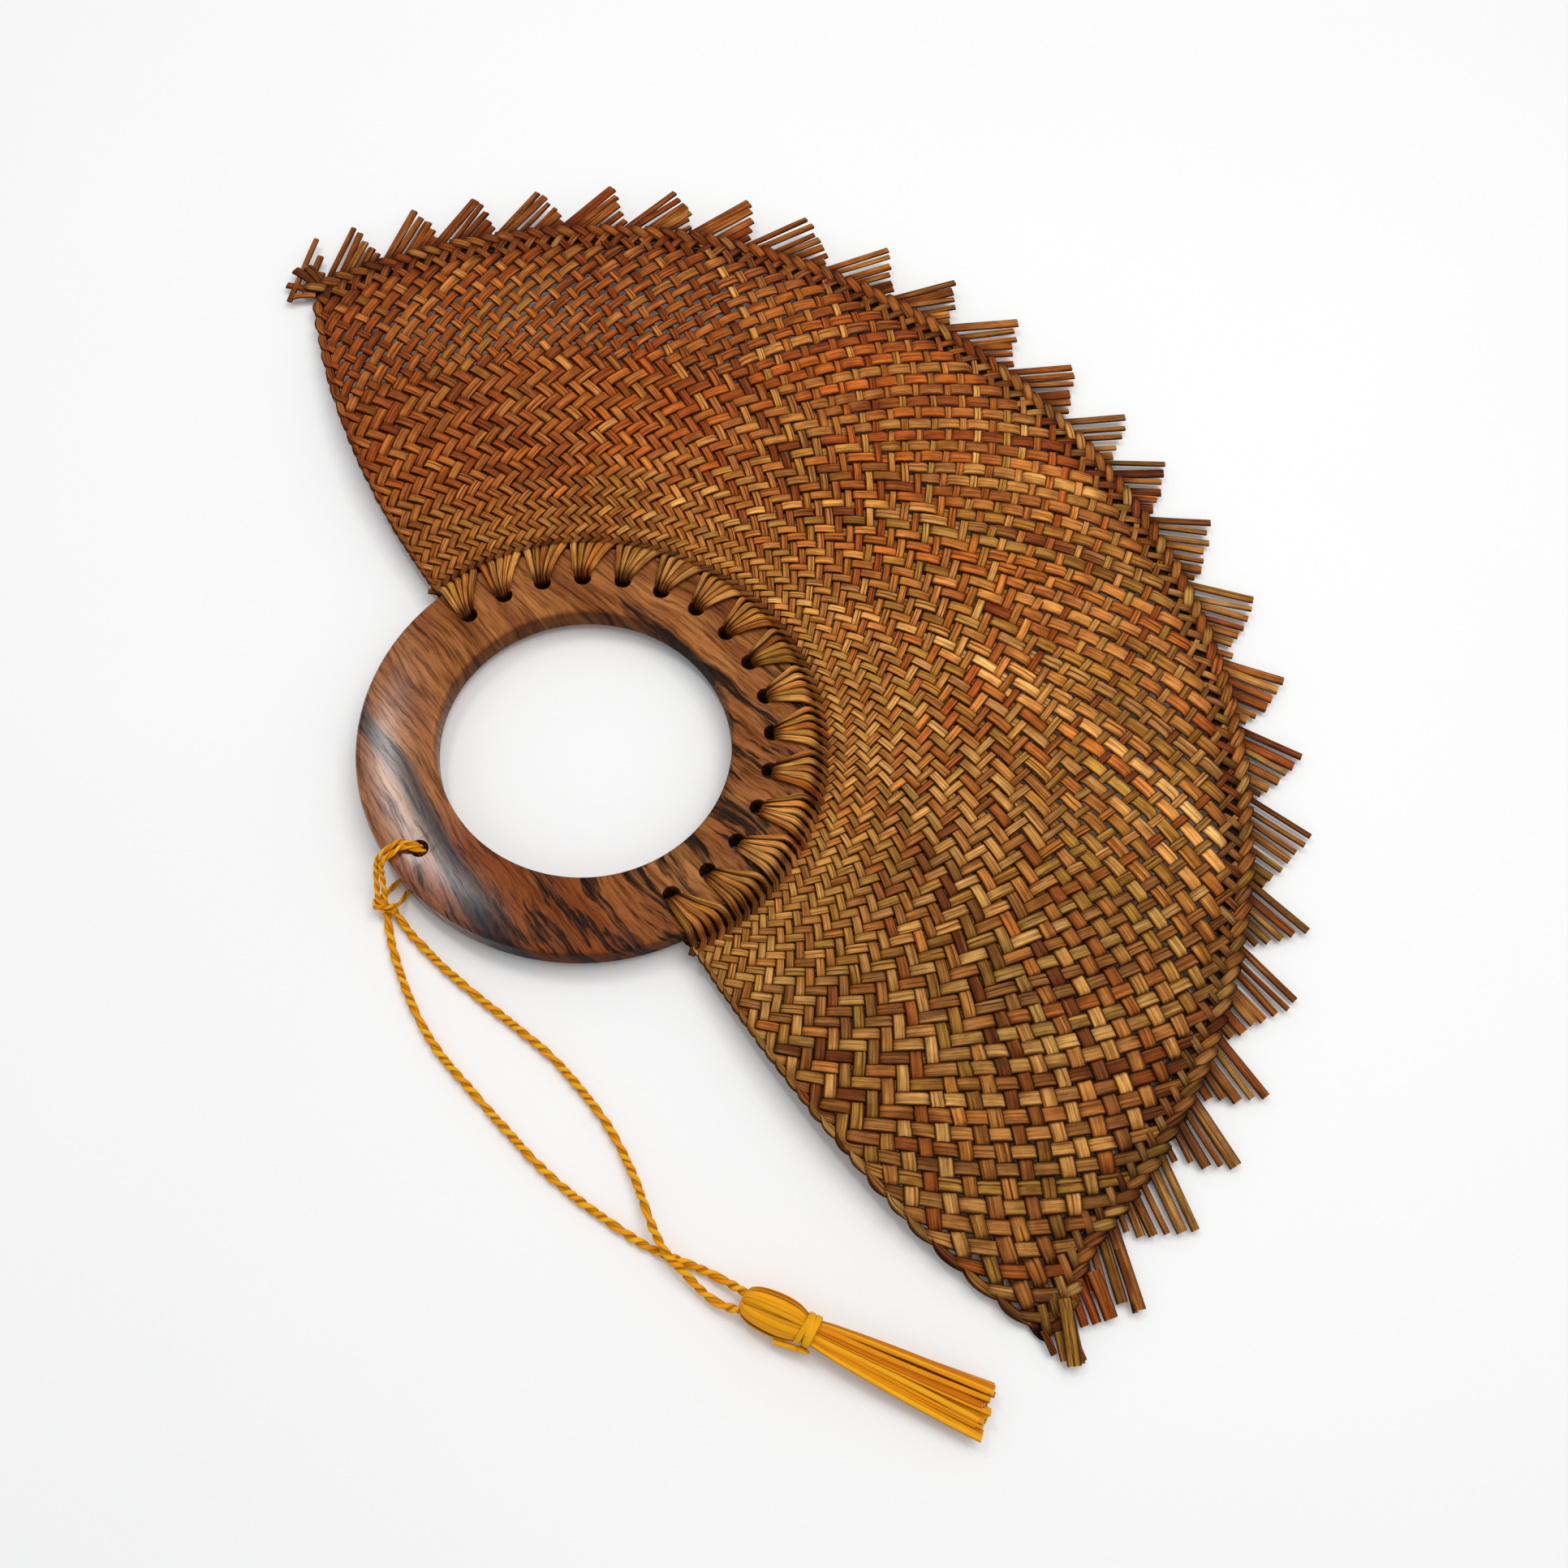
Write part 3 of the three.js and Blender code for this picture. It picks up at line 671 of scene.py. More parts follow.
def weave_reed(reeds, lane, leaning):
    """One reed from the ring to the border. At the selvedge that it leans to it turns back into the weave."""
    rows = np.arange(FIRST_ROW, LAST_ROW + 0.01, ROW_PART)
    past = leaning * 2 * lane + rows - REEDS
    sway = 0.05 * np.sin(rows * vary(0.25, 0.5) + vary(0, 6))
    sway = sway + 0.03 * np.sin(rows * 1.1 + vary(0, 6))
    place = leaning * (REEDS - np.sqrt(past**2 + FOLD**2)) + sway * blend(-0.4, -2.5, past) * 2
    radius = row_radius(rows)
    share = place / REEDS
    leans_right = np.where(past < 0, leaning, -leaning) > 0
    at_border = blend(BORDER_ROW - 0.5, BORDER_ROW + 1.0, rows)
    folding = np.exp(-((past / FOLD_REACH) ** 2))

    wide, narrow, spacing = reed_sizes(rows, radius, share)
    crossing = np.where(leans_right, narrow, wide)
    dive = np.clip(0.98 - 0.5 * crossing / spacing, 0.47, 0.73)
    wave, bow = up_and_down(sides_by_row(lane, leaning), rows, dive)
    height = (0.36 + 0.12 * blend(53, 80, radius)) * (wave + bow)
    height = height - 0.5 * blend(LAST_ROW - 1.1, LAST_ROW - 0.1, rows)

    spread = vary(0.93, 1.14) if leaning > 0 else vary(0.86, 1.14)
    widest = np.where(leans_right, wide, narrow) * spread * (1 - 0.15 * at_border)
    full = spacing * 0.985
    limited = full * widest / (full**WIDTH_POWER + widest**WIDTH_POWER) ** (1 / WIDTH_POWER)
    width = limited * (1 - 0.4 * folding)

    shades = drifting_colour(rows, radius, float(share[len(share) // 2]), leaning)
    # Painted shade where the reed dips under the reed it crosses
    painted_shade = 0.1 + 0.9 * blend(0.0, 0.66, np.abs(wave))
    # Painted shadow next to the ring, under the ends of the lacing
    painted_shade = painted_shade * (0.5 + 0.5 * blend(53.0, 56.5, radius))
    # Painted shade at the border and at the selvedge folds
    painted_shade = painted_shade * (1 - 0.42 * at_border) * (1 - 0.35 * folding)
    # Painted highlight and shade along each float: lighter in its middle, darker at its ends
    crest = np.convolve(np.abs(wave), np.ones(5) / 5, mode="same")
    painted_shade = painted_shade * (0.58 + 0.44 * blend(0.45, 0.95, crest))
    shades = shades * painted_shade[:, None] ** DEEPENING
    kind = vary(0.0, 0.72) if leaning > 0 else vary(0.2, 1.0)
    reeds.lay(weave_place(rows, place, height), width, REED_THICKNESS, shades, kind=kind)


def weave():
    """The blade's reeds in four pieces. The first of them stands for the CAD blade."""
    finish = reed_finish("woven_reed_brown", 0.42, 0.5)
    lanes = np.arange(REEDS) - (REEDS - 1) / 2
    nodes = ["woven_blade"]
    for leaning, side in ((1, "right"), (-1, "left")):
        for half, chosen in (("left", lanes[lanes < 0]), ("right", lanes[lanes > 0])):
            reeds = Reeds(shoulder=0.4, sharp=36)
            for lane in chosen:
                weave_reed(reeds, lane, leaning)
            reeds.make(f"reeds_leaning_{side}_{half}_half", finish, "fan", "woven_reed", nodes)
            nodes = []
    return finish


def selvedges(finish):
    """Along each side edge, the reeds that turn back lie over each other like scales, above and below."""
    t = np.linspace(-1.0, 1.0, 11)
    for side, name in ((-1, "left"), (1, "right")):
        reeds = Reeds()
        for fold_row in range(1, 48, 2):
            for face in (1, -1):
                closeness = math.sqrt(70 / max(70, float(row_radius(fold_row))))
                length = (1.65 + vary(-0.15, 0.2)) * closeness
                rows = fold_row + 0.1 + t * length
                inset = 0.72 + 0.35 * t**2 * (t < 0) + 0.1 * t
                lift = face * (0.5 - 0.34 * t - 0.35 * t**2)
                taper = 1 - 0.72 * np.abs(t) ** 2.2
                width = np.clip(row_radius(rows) * 0.021, 1.2, 2.3) * taper * vary(0.9, 1.15)
                # Painted shade: the folds along the edge are darkened
                colour = reed_colour(side * 0.9, 1) * 0.74
                path = weave_place(rows, side * (REEDS - inset), lift)
                reeds.lay(path, width, REED_THICKNESS, colour, roll=side * 0.35 * face)
        reeds.make(f"selvedge_folds_{name}", finish, "fan", "woven_reed", [f"selvedge_{name}"])


def lacing_stations(outer, stand, weave_top):
    """From the hole to the weave: radius, rise, how far the reed has fanned out, and width."""
    return np.array([
        (42.6, 0.2, 0.0, 0.9),
        (42.3, 2.6, 0.0, 1.1),
        (42.6, 3.95 + 0.1 * outer, 0.03, 1.35),
        (44.4, 4.35 + 0.2 * outer + stand, 0.24, 1.55),
        (47.0, 4.5 + 0.15 * outer + stand, 0.56, 1.75),
        (49.35, 4.45 + 0.1 * outer, 0.86, 1.95),
        (50.95, 3.1, 0.98, 1.95),
        (52.0, 1.5, 1.0, 1.8),
        (53.2, weave_top + 0.55, 1.0, 1.7),
        (54.6, weave_top + 0.35, 1.0, 1.6),
    ])


def lacing_reed(reeds, hole, number, face):
    """One of the reeds of a hole, over the ring for face 1 and under it for face -1."""
    hole_angle = (hole - (LACE_HOLES - 1) / 2) * LACE_HOLE_PITCH
    middle = number - (REEDS_PER_HOLE - 1) / 2
    lane = hole * REEDS_PER_HOLE + number - (REEDS - 1) / 2
    stand = vary(-0.1, 0.2)
    weave_top = float(blade_height(53.4, hole_angle)) - RING_HEIGHT
    line = through(lacing_stations(abs(middle) / 2, stand, weave_top), 22)
    radius = line[:, 0]
    start = hole_angle + middle * 0.72 / 42.5
    onward = np.clip(radius - WEAVE_START, 0.0, None)
    finish_angle = lane * REED_PITCH + face * BIAS * np.log(1 + onward / WEAVE_START)
    share = np.clip(line[:, 2], 0.0, 1.0)
    angle = start + (finish_angle - start) * share
    rise = line[:, 1] if face > 0 else np.minimum(line[:, 1], 4.1)
    path = polar(radius, angle, RING_HEIGHT + face * rise)
    out = polar(1.0, angle, 0.0)
    up = out * blend(0.06, 0.0, share)[:, None] * -1 + np.array([0, 0, face])[None, :]
    roll = face * (middle * 0.42 + vary(-0.14, 0.14)) * (1 - 0.72 * share)
    roll = roll * (1.0 if face > 0 else 0.4)
    colour = chance.choices([GOLDEN, TAN, OLIVE, ORANGE_BROWN], [0.38, 0.3, 0.2, 0.12])[0]
    colour = (0.75 * colour + 0.25 * TAN) * vary(0.58, 1.04)
    shadow = (0.3 + 0.7 * blend(42.4, 45.0, radius)) * (1 - 0.62 * blend(49.6, 51.8, radius))
    shadow = np.where(np.arange(len(line)) < 6, 0.3, shadow)
    reeds.lay(path, line[:, 3], 0.8, colour * shadow[:, None] ** DEEPENING, roll=-roll, up=up)


def lacing():
    """Five reeds come out of each hole, fan out over the ring's edge and go down into the weave."""
    finish = reed_finish("lacing_reed_golden", 0.4, 0.45, 0.45)
    reeds = Reeds()
    for hole in range(LACE_HOLES):
        for face in (1, -1):
            for number in range(REEDS_PER_HOLE):
                lacing_reed(reeds, hole, number, face)
    nodes = [f"lacing_{n:02d}" for n in range(1, LACE_HOLES + 1)]
    reeds.make("lacing_reeds", finish, "fan", "lacing_reed", nodes)


def border_path(radius, angle, lift):
    """A path on the border, with its drawn-out corner and lifted rim."""
    pull = corner_pull(CORNER_RADIUS, angle / BORDER_END)
    radius = np.minimum(radius, LEAF_OUTERMOST) + CORNER_PULL * pull
    return polar(radius, angle - CORNER_TURN * pull, BORDER_HEIGHT + rim_lift(radius, angle) + lift)


def border_leaf(reeds, middle, face):
    """A pointed leaf that lies along the edge."""
    t = np.linspace(-1.0, 1.0, 9)
    half = LEAF_HALF * vary(0.92, 1.12)
    tilt = math.radians(LEAF_TILT + vary(-6, 6))
    radius = LEAF_RADIUS - t * half * math.sin(tilt) + vary(-0.2, 0.2)
    angle = middle + t * half * math.cos(tilt) / LEAF_RADIUS
    lift = face * (0.8 - 0.4 * t - 0.5 * t**2)
    width = 2.5 * (1 - 0.45 * np.abs(t) ** 3) * vary(0.84, 1.14)
    shadow = 0.22 + 0.78 * blend(1.0, 0.35, np.abs(t))
    # The whole leaf is darkened: partly its own darker tone, partly painted shade in the border
    colour = reed_colour(middle / QUARTER, 1) * 0.66 * shadow[:, None] ** DEEPENING
    reeds.lay(border_path(radius, angle, lift), width, 0.7, colour, roll=-0.12 * face)


def border_stub(reeds, middle, pitch, face):
    """A reed end that is turned across, between two leaves."""
    t = np.linspace(-1.0, 1.0, 6)
    angle = middle + pitch * 0.5 + 0.7 * t * STUB_HALF / STUB_RADIUS + vary(-0.002, 0.002)
    path = border_path(STUB_RADIUS + STUB_HALF * t, angle, face * (0.66 - 0.35 * t**2))
    shadow = 0.25 + 0.75 * blend(0.9, 0.0, t)
    # Painted shade: the whole stub, which lies between and under the leaves, is darkened
    colour = reed_colour(middle / QUARTER, -1) * 0.6 * shadow[:, None] ** DEEPENING
    reeds.lay(path, 2.1 * vary(0.85, 1.1), REED_THICKNESS, colour)


def border(finish):
    """The plaited border: a near-black strip of painted shade inside the plait, short reed ends turned
    across, and leaves along the edge.
    """
    reeds = Reeds()
    along = np.linspace(BORDER_START + math.radians(1), BORDER_END - math.radians(8), 120)
    # Painted shade: a near-black strip under the leaves stands for the shade inside the plait
    shade_strip = polar(SHADE_STRIP_RADIUS, along, BORDER_HEIGHT + rim_lift(SHADE_STRIP_RADIUS, along) - 0.15)
    reeds.lay(shade_strip, 4.6, 0.3, DARK_BROWN * 0.07)
    pitch = (BORDER_END - BORDER_START) / BORDER_LEAVES
    for k in range(BORDER_LEAVES - 1):
        middle = BORDER_START + (k + 0.5) * pitch
        for face in (1, -1):
            border_leaf(reeds, middle, face)
            border_stub(reeds, middle, pitch, face)
    reeds.make("border_plait_leaves", finish, "fan", "woven_reed", ["border_plait"])


# Reed ends that have come loose at the two tips: from, to, width and colour
LOOSE_ENDS = (
    ((-148.5, 15.5, 2.2), (-157.2, 12.6, 2.4), 2.6, DARK_BROWN),
    ((-148.5, 13.6, 1.6), (-154.6, 8.8, 1.6), 2.1, RED_BROWN),
    ((-147.6, 13.0, 1.9), (-150.6, 7.2, 1.7), 1.8, TAN),
    ((-149.5, 16.2, 2.7), (-156.0, 15.6, 2.9), 2.4, DARK_BROWN),
    ((153.0, 12.2, 3.1), (163.7, 5.9, 2.6), 2.9, OLIVE),
    ((153.5, 10.4, 1.9), (164.1, 8.2, 1.5), 1.6, RED_BROWN),
    ((155.2, 5.1, 2.0), (159.8, 4.3, 1.4), 1.5, DARK_BROWN),
    ((152.1, 27.2, 2.0), (163.3, 22.4, 1.7), 1.2, DARK_BROWN),
    ((152.4, 20.4, 2.2), (161.3, 17.7, 1.7), 3.0, ORANGE_BROWN),
    ((152.0, 17.2, 2.0), (160.3, 14.9, 1.6), 2.0, RED_BROWN),
    ((152.0, 14.9, 1.9), (159.3, 12.6, 1.5), 1.9, RED_BROWN),
)


def fringe_reed(reeds, angle, shortness):
    """One reed end of a tooth, from the longest (shortness 0) to the shortest (1)."""
    lean = math.radians(31 + 12 * float(blend(0.0, -0.25, angle)) + vary(-2.5, 2.5))
    further = math.tan(lean) - math.tan(math.radians(TOOTH_LEAN))
    angle = angle - further * TOOTH / (FRINGE_RADIUS + TOOTH)
    reach = TOOTH + (SHORTEST_END - TOOTH) * shortness
    length = reach / math.cos(lean) + vary(-0.6, 0.6)
    base = polar(FRINGE_RADIUS, angle, 0.0)
    along = polar(1.0, angle + lean, 0.0)
    t = np.linspace(-4.0, length, 6)
    curl = vary(-0.35, 0.5)
    path = base[None, :] + along[None, :] * t[:, None]
    bend = curl * np.clip(t / 13, 0, 1) ** 1.5
    path[:, 2] = BORDER_HEIGHT + 0.05 + rim_lift(CORNER_RADIUS, angle) + bend
    width = chance.choice(FRINGE_WIDTHS) * vary(0.92, 1.06)
    colour = 0.66 * reed_colour(angle / QUARTER, 1) + 0.12 * DARK_BROWN
    # Painted shade: darker at the root, where the reed comes out from under the border
    colour = colour * (0.4 + 0.6 * blend(-1.0, 3.5, t))[:, None] ** DEEPENING
    reeds.lay(path, width, 0.95, colour, roll=vary(-0.2, 0.2), hollow=True)


def fringe():
    """Reed ends cut in steps to saw teeth, each a flattened pipe with a pale end."""
    finish = reed_finish("fringe_reed_brown", 0.42, 0.45)
    reeds = Reeds()
    before = 0
    for count in TUFTS:
        for k in range(count):
            angle = FRINGE_START + (before + k + 0.42) * FRINGE_PITCH
            if angle <= FRINGE_END:
                fringe_reed(reeds, angle, k / (count - 1))
        before += count
    t = np.linspace(0.0, 1.0, 6)[:, None]
    for start, end, width, colour in LOOSE_ENDS:
        path = np.array(start) * (1 - t) + np.array(end) * t
        path[:, 2] += 0.5 * np.sin(math.pi * t[:, 0])
        reeds.lay(path, width, 0.7, colour * vary(0.6, 0.75), hollow=True)
    nodes = [f"fringe_tuft_{n:02d}" for n in range(1, len(TUFTS) + 1)]
    reeds.make("fringe_reeds", finish, "fan", "fringe_reed", nodes)


def select_only(*objects):
    """Selects these objects alone, the first as the active one."""
    bpy.ops.object.select_all(action="DESELECT")
    for chosen in objects:
        chosen.select_set(True)
    if objects:
        bpy.context.view_layer.objects.active = objects[0]


def ring_bar():
    """A flat bar with rounded edges, spun round the ring's axis."""
    select_only()
    middle = at((RING_OUTER + RING_INNER) / 2, 0, RING_HEIGHT)
    bpy.ops.mesh.primitive_plane_add(size=1.0, location=middle, rotation=(math.pi / 2, 0, 0))
    handle = bpy.context.object
    handle.name = "ring_of_hardwood"
    handle.scale = ((RING_OUTER - RING_INNER) * MM, RING_THICKNESS * MM, 1.0)
    bpy.ops.object.transform_apply(location=True, rotation=True, scale=True)
    bpy.ops.object.mode_set(mode="EDIT")
    bpy.ops.mesh.select_all(action="SELECT")
    bpy.ops.mesh.bevel(offset=RING_EDGE * MM, segments=5, affect="VERTICES")
    bpy.ops.mesh.select_all(action="SELECT")
    bpy.ops.mesh.delete(type="ONLY_FACE")
    bpy.ops.mesh.select_all(action="SELECT")
    centre = at(0, 0, RING_HEIGHT)
    bpy.ops.mesh.spin(steps=RING_STEPS, angle=2 * math.pi, center=centre, axis=(0, 0, 1))
    bpy.ops.mesh.select_all(action="SELECT")
    bpy.ops.mesh.remove_doubles(threshold=0.00001)
    bpy.ops.mesh.normals_make_consistent(inside=False)
    bpy.ops.object.mode_set(mode="OBJECT")
    return handle


def ring_drill():
    """All the ring's holes as one tool."""
    angles = [(k - (LACE_HOLES - 1) / 2) * LACE_HOLE_PITCH for k in range(LACE_HOLES)]
    holes = [(LACE_HOLE_CIRCLE * math.sin(a), LACE_HOLE_CIRCLE * math.cos(a)) for a in angles]
    drills = []
    for x, y in [*holes, TASSEL_HOLE]:
        select_only()
        radius = LACE_HOLE_RADIUS * MM
        place = at(x, y, RING_HEIGHT)
        bpy.ops.mesh.primitive_cylinder_add(vertices=24, radius=radius, depth=0.02, location=place)
        drills.append(bpy.context.object)
    select_only(*drills)
    bpy.ops.object.join()
    bpy.ops.object.transform_apply(location=True, rotation=True, scale=True)
    return bpy.context.object


def ring():
    """The wooden handle, drilled for the lacing and for the tassel."""
    handle = ring_bar()
    drill = ring_drill()
    select_only(handle)
    cut = handle.modifiers.new("drill", "BOOLEAN")
    cut.operation = "DIFFERENCE"
    cut.solver = "EXACT"
    cut.object = drill
    bpy.ops.object.modifier_apply(modifier=cut.name)
    bpy.data.objects.remove(drill)
    bpy.ops.object.shade_smooth_by_angle(angle=math.radians(34))
    handle.data.materials.clear()
    handle.data.materials.append(ring_finish())
    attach(handle, "fan")
    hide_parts("ring_handle")


# The routes of the cord's two legs, from the hitch to the tassel's head
LEFT_LEG = (
    (7.2, -55.0, 2.9), (7.9, -55.5, 1.9), (9.2, -56.2, 1.15), (11.8, -57.3, 1.1), (15.7, -58.7, 1.1),
    (22.5, -60.4, 1.1), (30.5, -61.8, 1.1), (39.9, -62.2, 1.1), (47.1, -61.4, 1.1), (54.5, -60.4, 1.1),
    (62, -59.3, 1.1), (73.2, -57.4, 1.1), (82, -54.9, 1.1), (90.7, -51.6, 1.1), (96.9, -49, 1.1),
    (101.2, -46.4, 1.1), (107.8, -42.1, 1.4), (112.2, -39.8, 2.4), (115.95, -38.25, 3.9),
)
RIGHT_LEG = (
    (7.6, -54.6, 2.9), (8.6, -54.3, 1.9), (10.2, -54.1, 1.15), (13.5, -54, 1.1), (18.2, -53.4, 1.1),
    (26.4, -51.8, 1.1), (37.2, -48.8, 1.1), (47, -45.8, 1.1), (54.9, -43.7, 1.1), (63.2, -42.6, 1.1),
    (70.4, -42.1, 1.1), (77.2, -42.4, 1.2), (84.6, -43.5, 1.7), (90.5, -44.9, 2.6), (96.5, -46.3, 3.5),
    (101, -46.6, 3.6), (105.8, -45.8, 3.1), (111.5, -44.6, 2.3), (115.2, -43, 2.6), (117.75, -41.05, 3.7),
)


def twist(strands, route, diameter, lay_length, colours, step=0.55):
    """Two plies of raffia laid round each other along a route."""
    length = float(distances(through(route, 200))[-1])
    line = through(route, max(12, int(length / step)))
    ahead = np.gradient(line, axis=0)
    ahead /= np.linalg.norm(ahead, axis=1)[:, None]
    side = np.zeros_like(line)
    side[0] = np.cross(ahead[0], (0.1, 0.2, 1.0))
    for k in range(len(line)):
        base = side[max(k - 1, 0)]
        side[k] = base - ahead[k] * np.dot(base, ahead[k])
        side[k] /= np.linalg.norm(side[k])
    lift = np.cross(side, ahead)
    run = np.linspace(0.0, length, len(line))
    slack = 0.9 * np.sin(run * 0.31 + 1.0) + 0.5 * np.sin(run * 0.83)
    for ply, colour in enumerate(colours):
        turn = 2 * math.pi * run / lay_length + ply * math.pi + slack
        out = side * np.cos(turn)[:, None] + lift * np.sin(turn)[:, None]
        fat = 1 + 0.08 * np.sin(run * 0.57 + 2.0 * ply) + 0.05 * np.sin(run * 1.7)
        path = line + out * diameter * 0.22
        strands.lay(path, diameter * 0.57 * fat, diameter * 0.5 * fat, colour, up=out)
    return line


def cords(finish):
    """The tassel's loop: two free legs of two-ply twist, from the hitch to the tassel's head."""
    for name, route, colours, node in (
        ("cord_twist_left", LEFT_LEG, (YELLOW, AMBER), "cord_leg_left"),
        ("cord_twist_right", RIGHT_LEG, (YELLOW * 0.96, AMBER * 1.05), "cord_leg_right"),
    ):
        strands = Cord()
        line = twist(strands, route, 2.0, 5.6, colours)
        piece = strands.make(name, finish, "cord_loop", "dyed_raffia", [node])


def hitch(finish):
    """A lark's head through the ring's own hole and round its rim."""
    x, y = TASSEL_HOLE
    left = (
        (x - 0.65, y + 0.3, 5.1), (x - 0.65, y + 0.4, 8.3), (0.9, -43.9, 9.65), (-1, -46.2, 9.75),
        (-0.9, -48.9, 9.9), (-0.6, -51.5, 8.6), (0.6, -53, 6.6), (2.7, -54.4, 4.9), (4.5, -55.4, 3.9),
        (6.3, -56, 3.4), (8.35, -55.9, 3.05),
    )
    right = (
        (x + 0.65, y + 0.3, 5.1), (x + 0.65, y + 0.4, 8.3), (2.1, -44.2, 9.65), (0.4, -46.2, 9.75),
        (0.5, -48.6, 9.9), (0.7, -51.3, 8.6), (1.8, -52.3, 6.6), (3.7, -53.3, 4.9), (5.4, -54.2, 3.9),
        (7.2, -55, 3.4), (9.5, -54.1, 3.05),
    )
    bight = (
        (x - 0.65, y - 0.4, 5.1), (x - 0.65, y - 0.6, 1.6), (2, -44.8, 0.75), (2.6, -47.5, 0.75),
        (3.1, -50.4, 0.75), (3.9, -53.3, 1.1), (5.2, -56.6, 3.2), (6.4, -57.1, 3.6), (7.9, -55.3, 4.4),
        (8.3, -53.2, 2.8), (6.6, -50.4, 0.9), (4.4, -47.4, 0.75), (3.3, -44.9, 0.75),
        (x + 0.65, y - 0.6, 1.6), (x + 0.65, y - 0.4, 5.1),
    )
    strands = Cord()
    for route, diameter, colours in (
        (left, 1.4, (YELLOW, AMBER)),
        (right, 1.4, (AMBER * 1.08, YELLOW)),
        (bight, 1.25, (YELLOW, AMBER)),
    ):
        twist(strands, route, diameter, 5.0, colours, 0.4)
    strands.make("hitch_strands", finish, "fan", "dyed_raffia", ["tassel_hitch"])


def tassel_place(out, side, height):
    """Places on the tassel: out from its pivot along it, to its side, and above the table."""
    forward = np.array([math.cos(TASSEL_ANGLE), math.sin(TASSEL_ANGLE)])
    sideways = np.array([-forward[1], forward[0]])
    out, side, height = np.broadcast_arrays(out, side, np.asarray(height, float))
    flat = np.array(TASSEL_PIVOT) + out[..., None] * forward + side[..., None] * sideways
    return np.concatenate([flat, height[..., None]], axis=-1)


def tassel_head(finish):
    """Strips folded over the cord's end, in two layers."""
    head = Reeds()
    for layer, (count, shrink, width) in enumerate(((15, 0.84, 2.0), (19, 0.97, 1.65))):
        for k in range(count):
            turn = 2 * math.pi * (k + 0.5 * layer + vary(-0.15, 0.15)) / count
            out = np.array([9.9, 9.0, 7.0, 4.4, 1.6, -1.2, -3.0, -3.7])
            girth = np.array([2.25, 2.6, 3.45, 3.85, 3.8, 3.4, 2.5, 0.8]) * shrink
            girth = girth * vary(0.93, 1.03)
            sway = turn + np.linspace(0, vary(-0.35, 0.35), len(out))
            height = TASSEL_HEIGHT + girth * 1.02 * np.sin(sway)
            line = through(np.column_stack([out, girth * np.cos(sway), height]), 16)
            path = tassel_place(line[:, 0], line[:, 1], line[:, 2])
            middle = tassel_place(np.clip(line[:, 0], -1.5, 9), 0.0, TASSEL_HEIGHT)
            spread = np.interp(line[:, 0], [-3.7, -2.0, 2, 7, 10], [0.4, 0.85, 1.0, 0.9, 0.62])
            colour = (YELLOW + AMBER) / 2 * vary(0.82, 1.05)
            roll = vary(-0.3, 0.3)
            wide = width * spread * vary(0.7, 1.1)
            head.lay(path, wide, 0.5, colour, roll=roll, up=path - middle)
    head.make("tassel_head_folds", finish, "tassel", "dyed_raffia", ["tassel_head"])


def tassel_binding(finish):
    """Wraps round the neck, their knot and its cut tail."""
    binding = Reeds()
    for place, tilt, phase in ((9.3, 0.5, 0.4), (10.2, -0.35, 2.1), (11.0, 0.25, 4.0)):
        turn = np.linspace(0.0, 2 * math.pi, 33) + phase
        girth = 3.05 + 0.12 * np.sin(3 * turn)
        out = place + tilt * np.cos(turn)
        path = tassel_place(out, girth * np.cos(turn), TASSEL_HEIGHT + girth * np.sin(turn))
        middle = tassel_place(out, 0.0, TASSEL_HEIGHT)
        binding.lay(path, 1.35, 0.5, YELLOW * vary(0.85, 0.95), up=path - middle)
    turn = np.linspace(0.0, 2.2 * math.pi, 22)
    knot = tassel_place(10.6 + 0.95 * np.cos(turn), -3.7 - 0.35 * np.sin(turn), 3.6 + 0.76 * np.sin(turn))
    binding.lay(knot, 1.1, 0.6, YELLOW, up=(0.5, -0.8, 0.3))
    tail = tassel_place(np.linspace(10.0, 4.8, 7), np.linspace(-3.9, -4.5, 7), np.linspace(3.4, 3.0, 7))
    binding.lay(tail, 1.4, 0.75, YELLOW, up=(0.3, -0.5, 0.8), hollow=True)
    binding.make("tassel_binding_wraps", finish, "tassel", "dyed_raffia", ["tassel_binding"])


def tassel_skirt(finish):
    """Free strips below the binding, spread on the table."""
    skirt = Reeds()
    t = np.linspace(0.0, 1.0, 9)
    belly = np.sin(math.pi * t)
    open_up = t**0.85
    half = SKIRT_TOP_HALF + (SKIRT_END_HALF - SKIRT_TOP_HALF) * open_up
    sinking = TASSEL_HEIGHT + (SKIRT_END_HEIGHT - TASSEL_HEIGHT) * blend(0.0, 0.8, t) + 0.2 * belly
    for _ in range(SKIRT_STRIPS):
        spread = vary(-1.0, 1.0)
        level = vary(-1.0, 1.0) * math.sqrt(max(0.0, 1 - spread**2 * 0.8))
        length = SKIRT_LENGTH - 0.4 + vary(-2.2, 0.2)
        side = spread * half + vary(-0.3, 0.3) * belly
        height = np.clip(sinking + level * (2.0 - 0.25 * open_up), 0.9, None)
        path = tassel_place(HEAD_LENGTH + 0.2 + t * length, side, height)
        width = vary(0.8, 1.5) * np.interp(t, [0, 0.15, 1], [0.7, 1.0, 0.95])
        colour = chance.choices([YELLOW, AMBER, DEEP_AMBER, PALE_YELLOW], [0.46, 0.38, 0.11, 0.05])[0]
        colour = colour * vary(0.9, 1.06)
        roll = vary(-0.5, 0.5) + 0.3 * spread
        skirt.lay(path, width, 0.65, colour, roll=roll, hollow=True)
    skirt.make("tassel_skirt_strips", finish, "tassel", "dyed_raffia", ["tassel_skirt"])


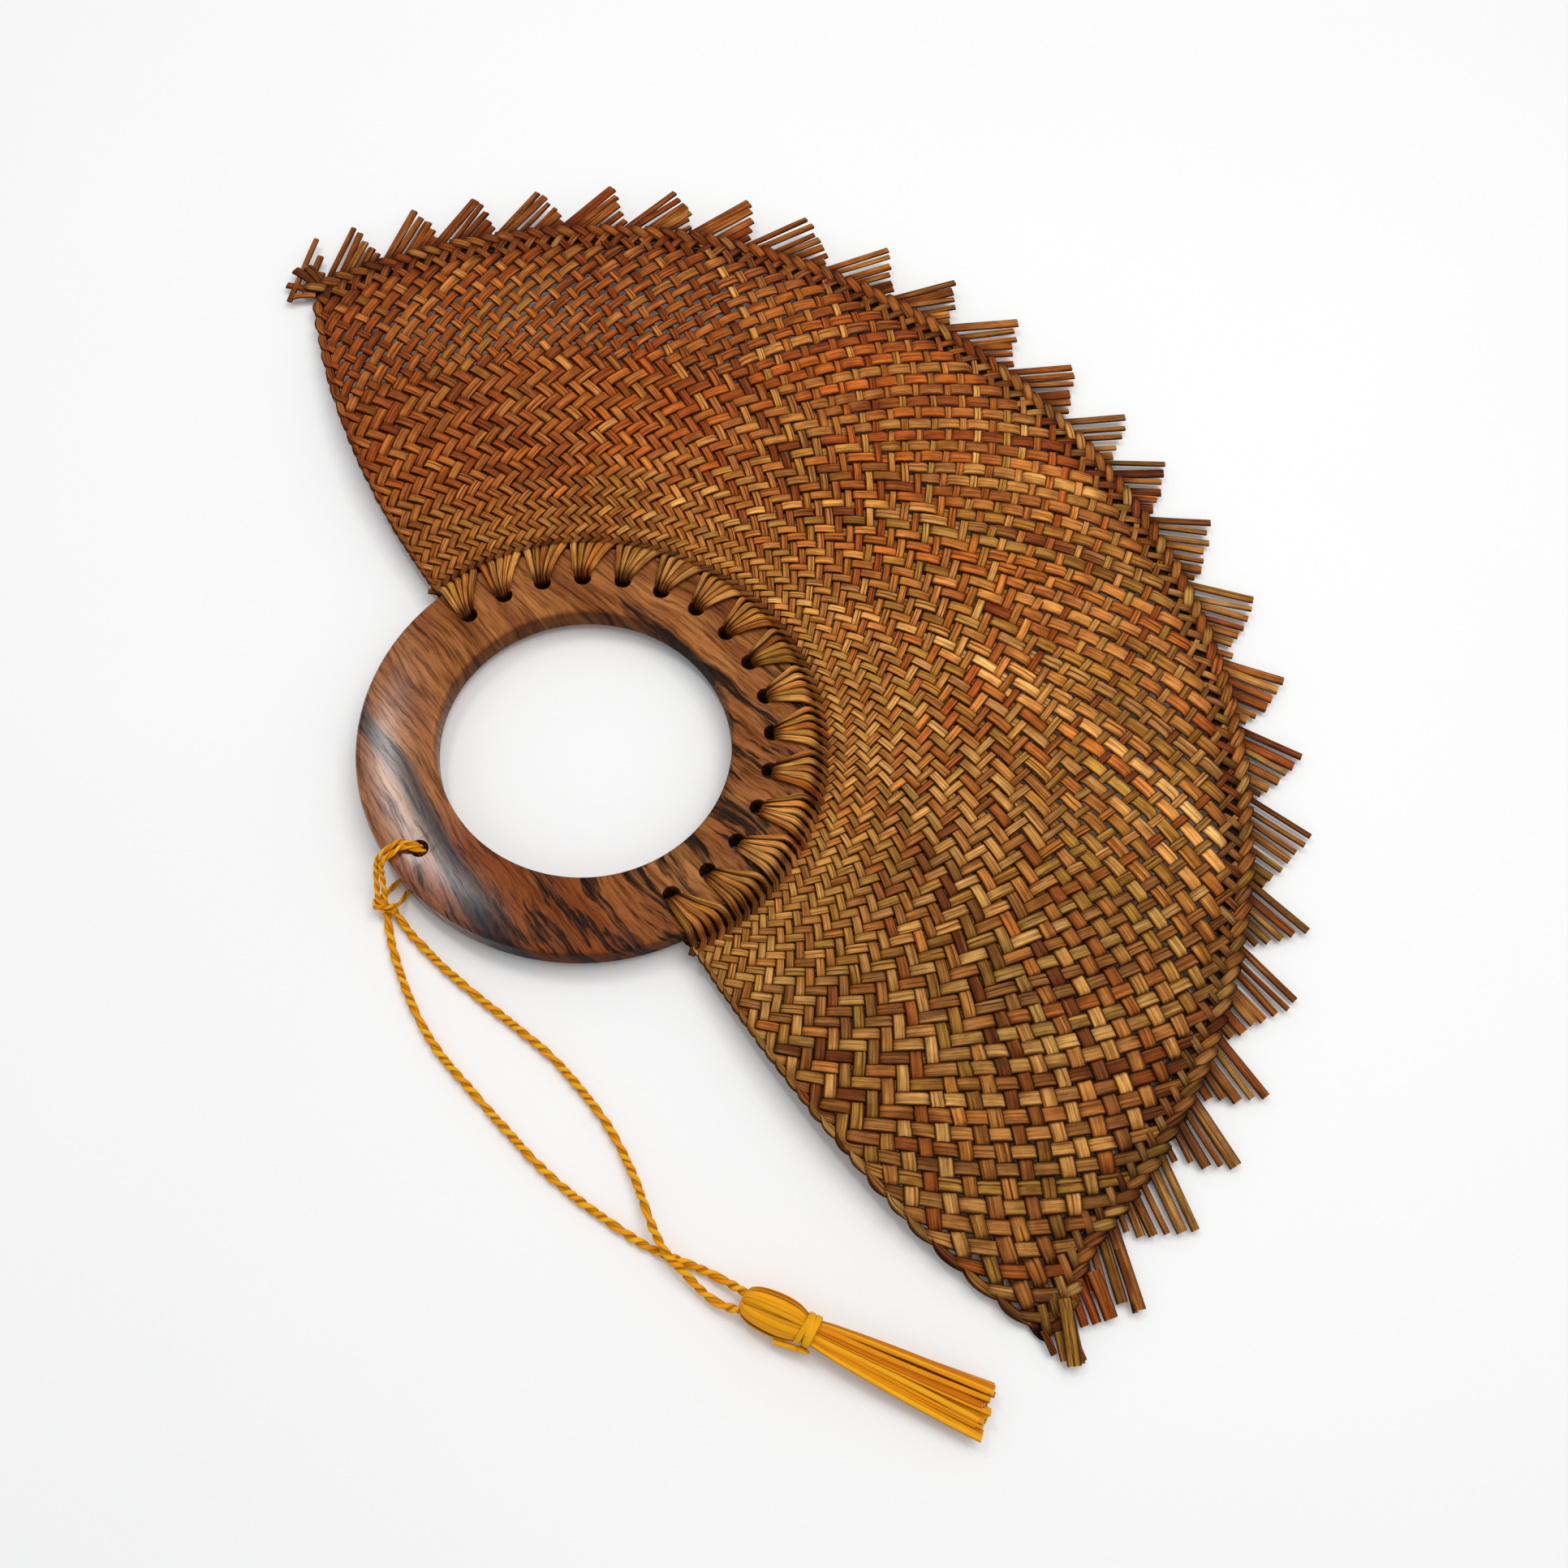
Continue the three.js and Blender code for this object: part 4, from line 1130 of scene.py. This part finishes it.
def table():
    """A white table top, a hair below the fan."""
    select_only()
    bpy.ops.mesh.primitive_plane_add(size=6.0, location=(0, 0, -0.0002))
    top = bpy.context.object
    top.name = "table_top"
    white = Finish("white_table")
    mottle = white.noise(white.add("TexCoord", {}, {}, 3), 9.0, 3.0)
    top.data.materials.append(white.surface({
        "Base Color": white.mix(mottle, (0.9, 0.903, 0.906, 1.0), (0.93, 0.93, 0.93, 1.0)),
        "Roughness": 0.55,
        "Specular IOR Level": 0.2,
    }))


def stand_up(holder, place, right, up):
    """Puts a lamp or a camera in its place, turned by its right and its up."""
    bpy.context.scene.collection.objects.link(holder)
    turn = Matrix((right, up, right.cross(up))).transposed()
    holder.matrix_world = Matrix.Translation(place) @ turn.to_4x4()


def light():
    """A pale room, a small bright window and a large soft lamp."""
    world = bpy.data.worlds.new("pale_room")
    bpy.context.scene.world = world
    world.use_nodes = True
    background = world.node_tree.nodes["Background"]
    background.inputs["Color"].default_value = (0.97, 0.985, 1.0, 1.0)
    background.inputs["Strength"].default_value = 0.585
    for name, place, width, height, energy in (
        ("window_light", (-352, -9, 747), 0.2, 0.05, 0.85),
        ("room_light", (60, 280, 850), 0.6, 0.6, 3.6),
    ):
        lamp = bpy.data.lights.new(name, "AREA")
        lamp.shape = "RECTANGLE"
        lamp.size = width
        lamp.size_y = height
        lamp.energy = energy
        lamp.color = (1.0, 0.985, 0.96)
        back = (at(*place) - at(20, 30, 0)).normalized()
        right = (Vector((1, 0, 0)) - back * back.x).normalized()
        stand_up(bpy.data.objects.new(name, lamp), at(*place), right, back.cross(right))


def camera():
    """The photo's camera."""
    lens = bpy.data.cameras.new("photo_camera")
    lens.sensor_width = SENSOR
    lens.lens = SENSOR * FOCAL_PIXELS / PHOTO_PIXELS
    lens.clip_start = 0.01
    holder = bpy.data.objects.new("photo_camera", lens)
    stand_up(holder, at(*CAMERA_PLACE), Vector(CAMERA_RIGHT), Vector(CAMERA_UP))
    bpy.context.scene.camera = holder


camera()
raffia = raffia_finish()
cords(raffia)
hitch(raffia)
tassel_head(raffia)
tassel_binding(raffia)
tassel_skirt(raffia)
ring()
lacing()
woven = weave()
selvedges(woven)
border(woven)
fringe()
table()
light()
bpy.context.scene.view_settings.view_transform = "Standard"
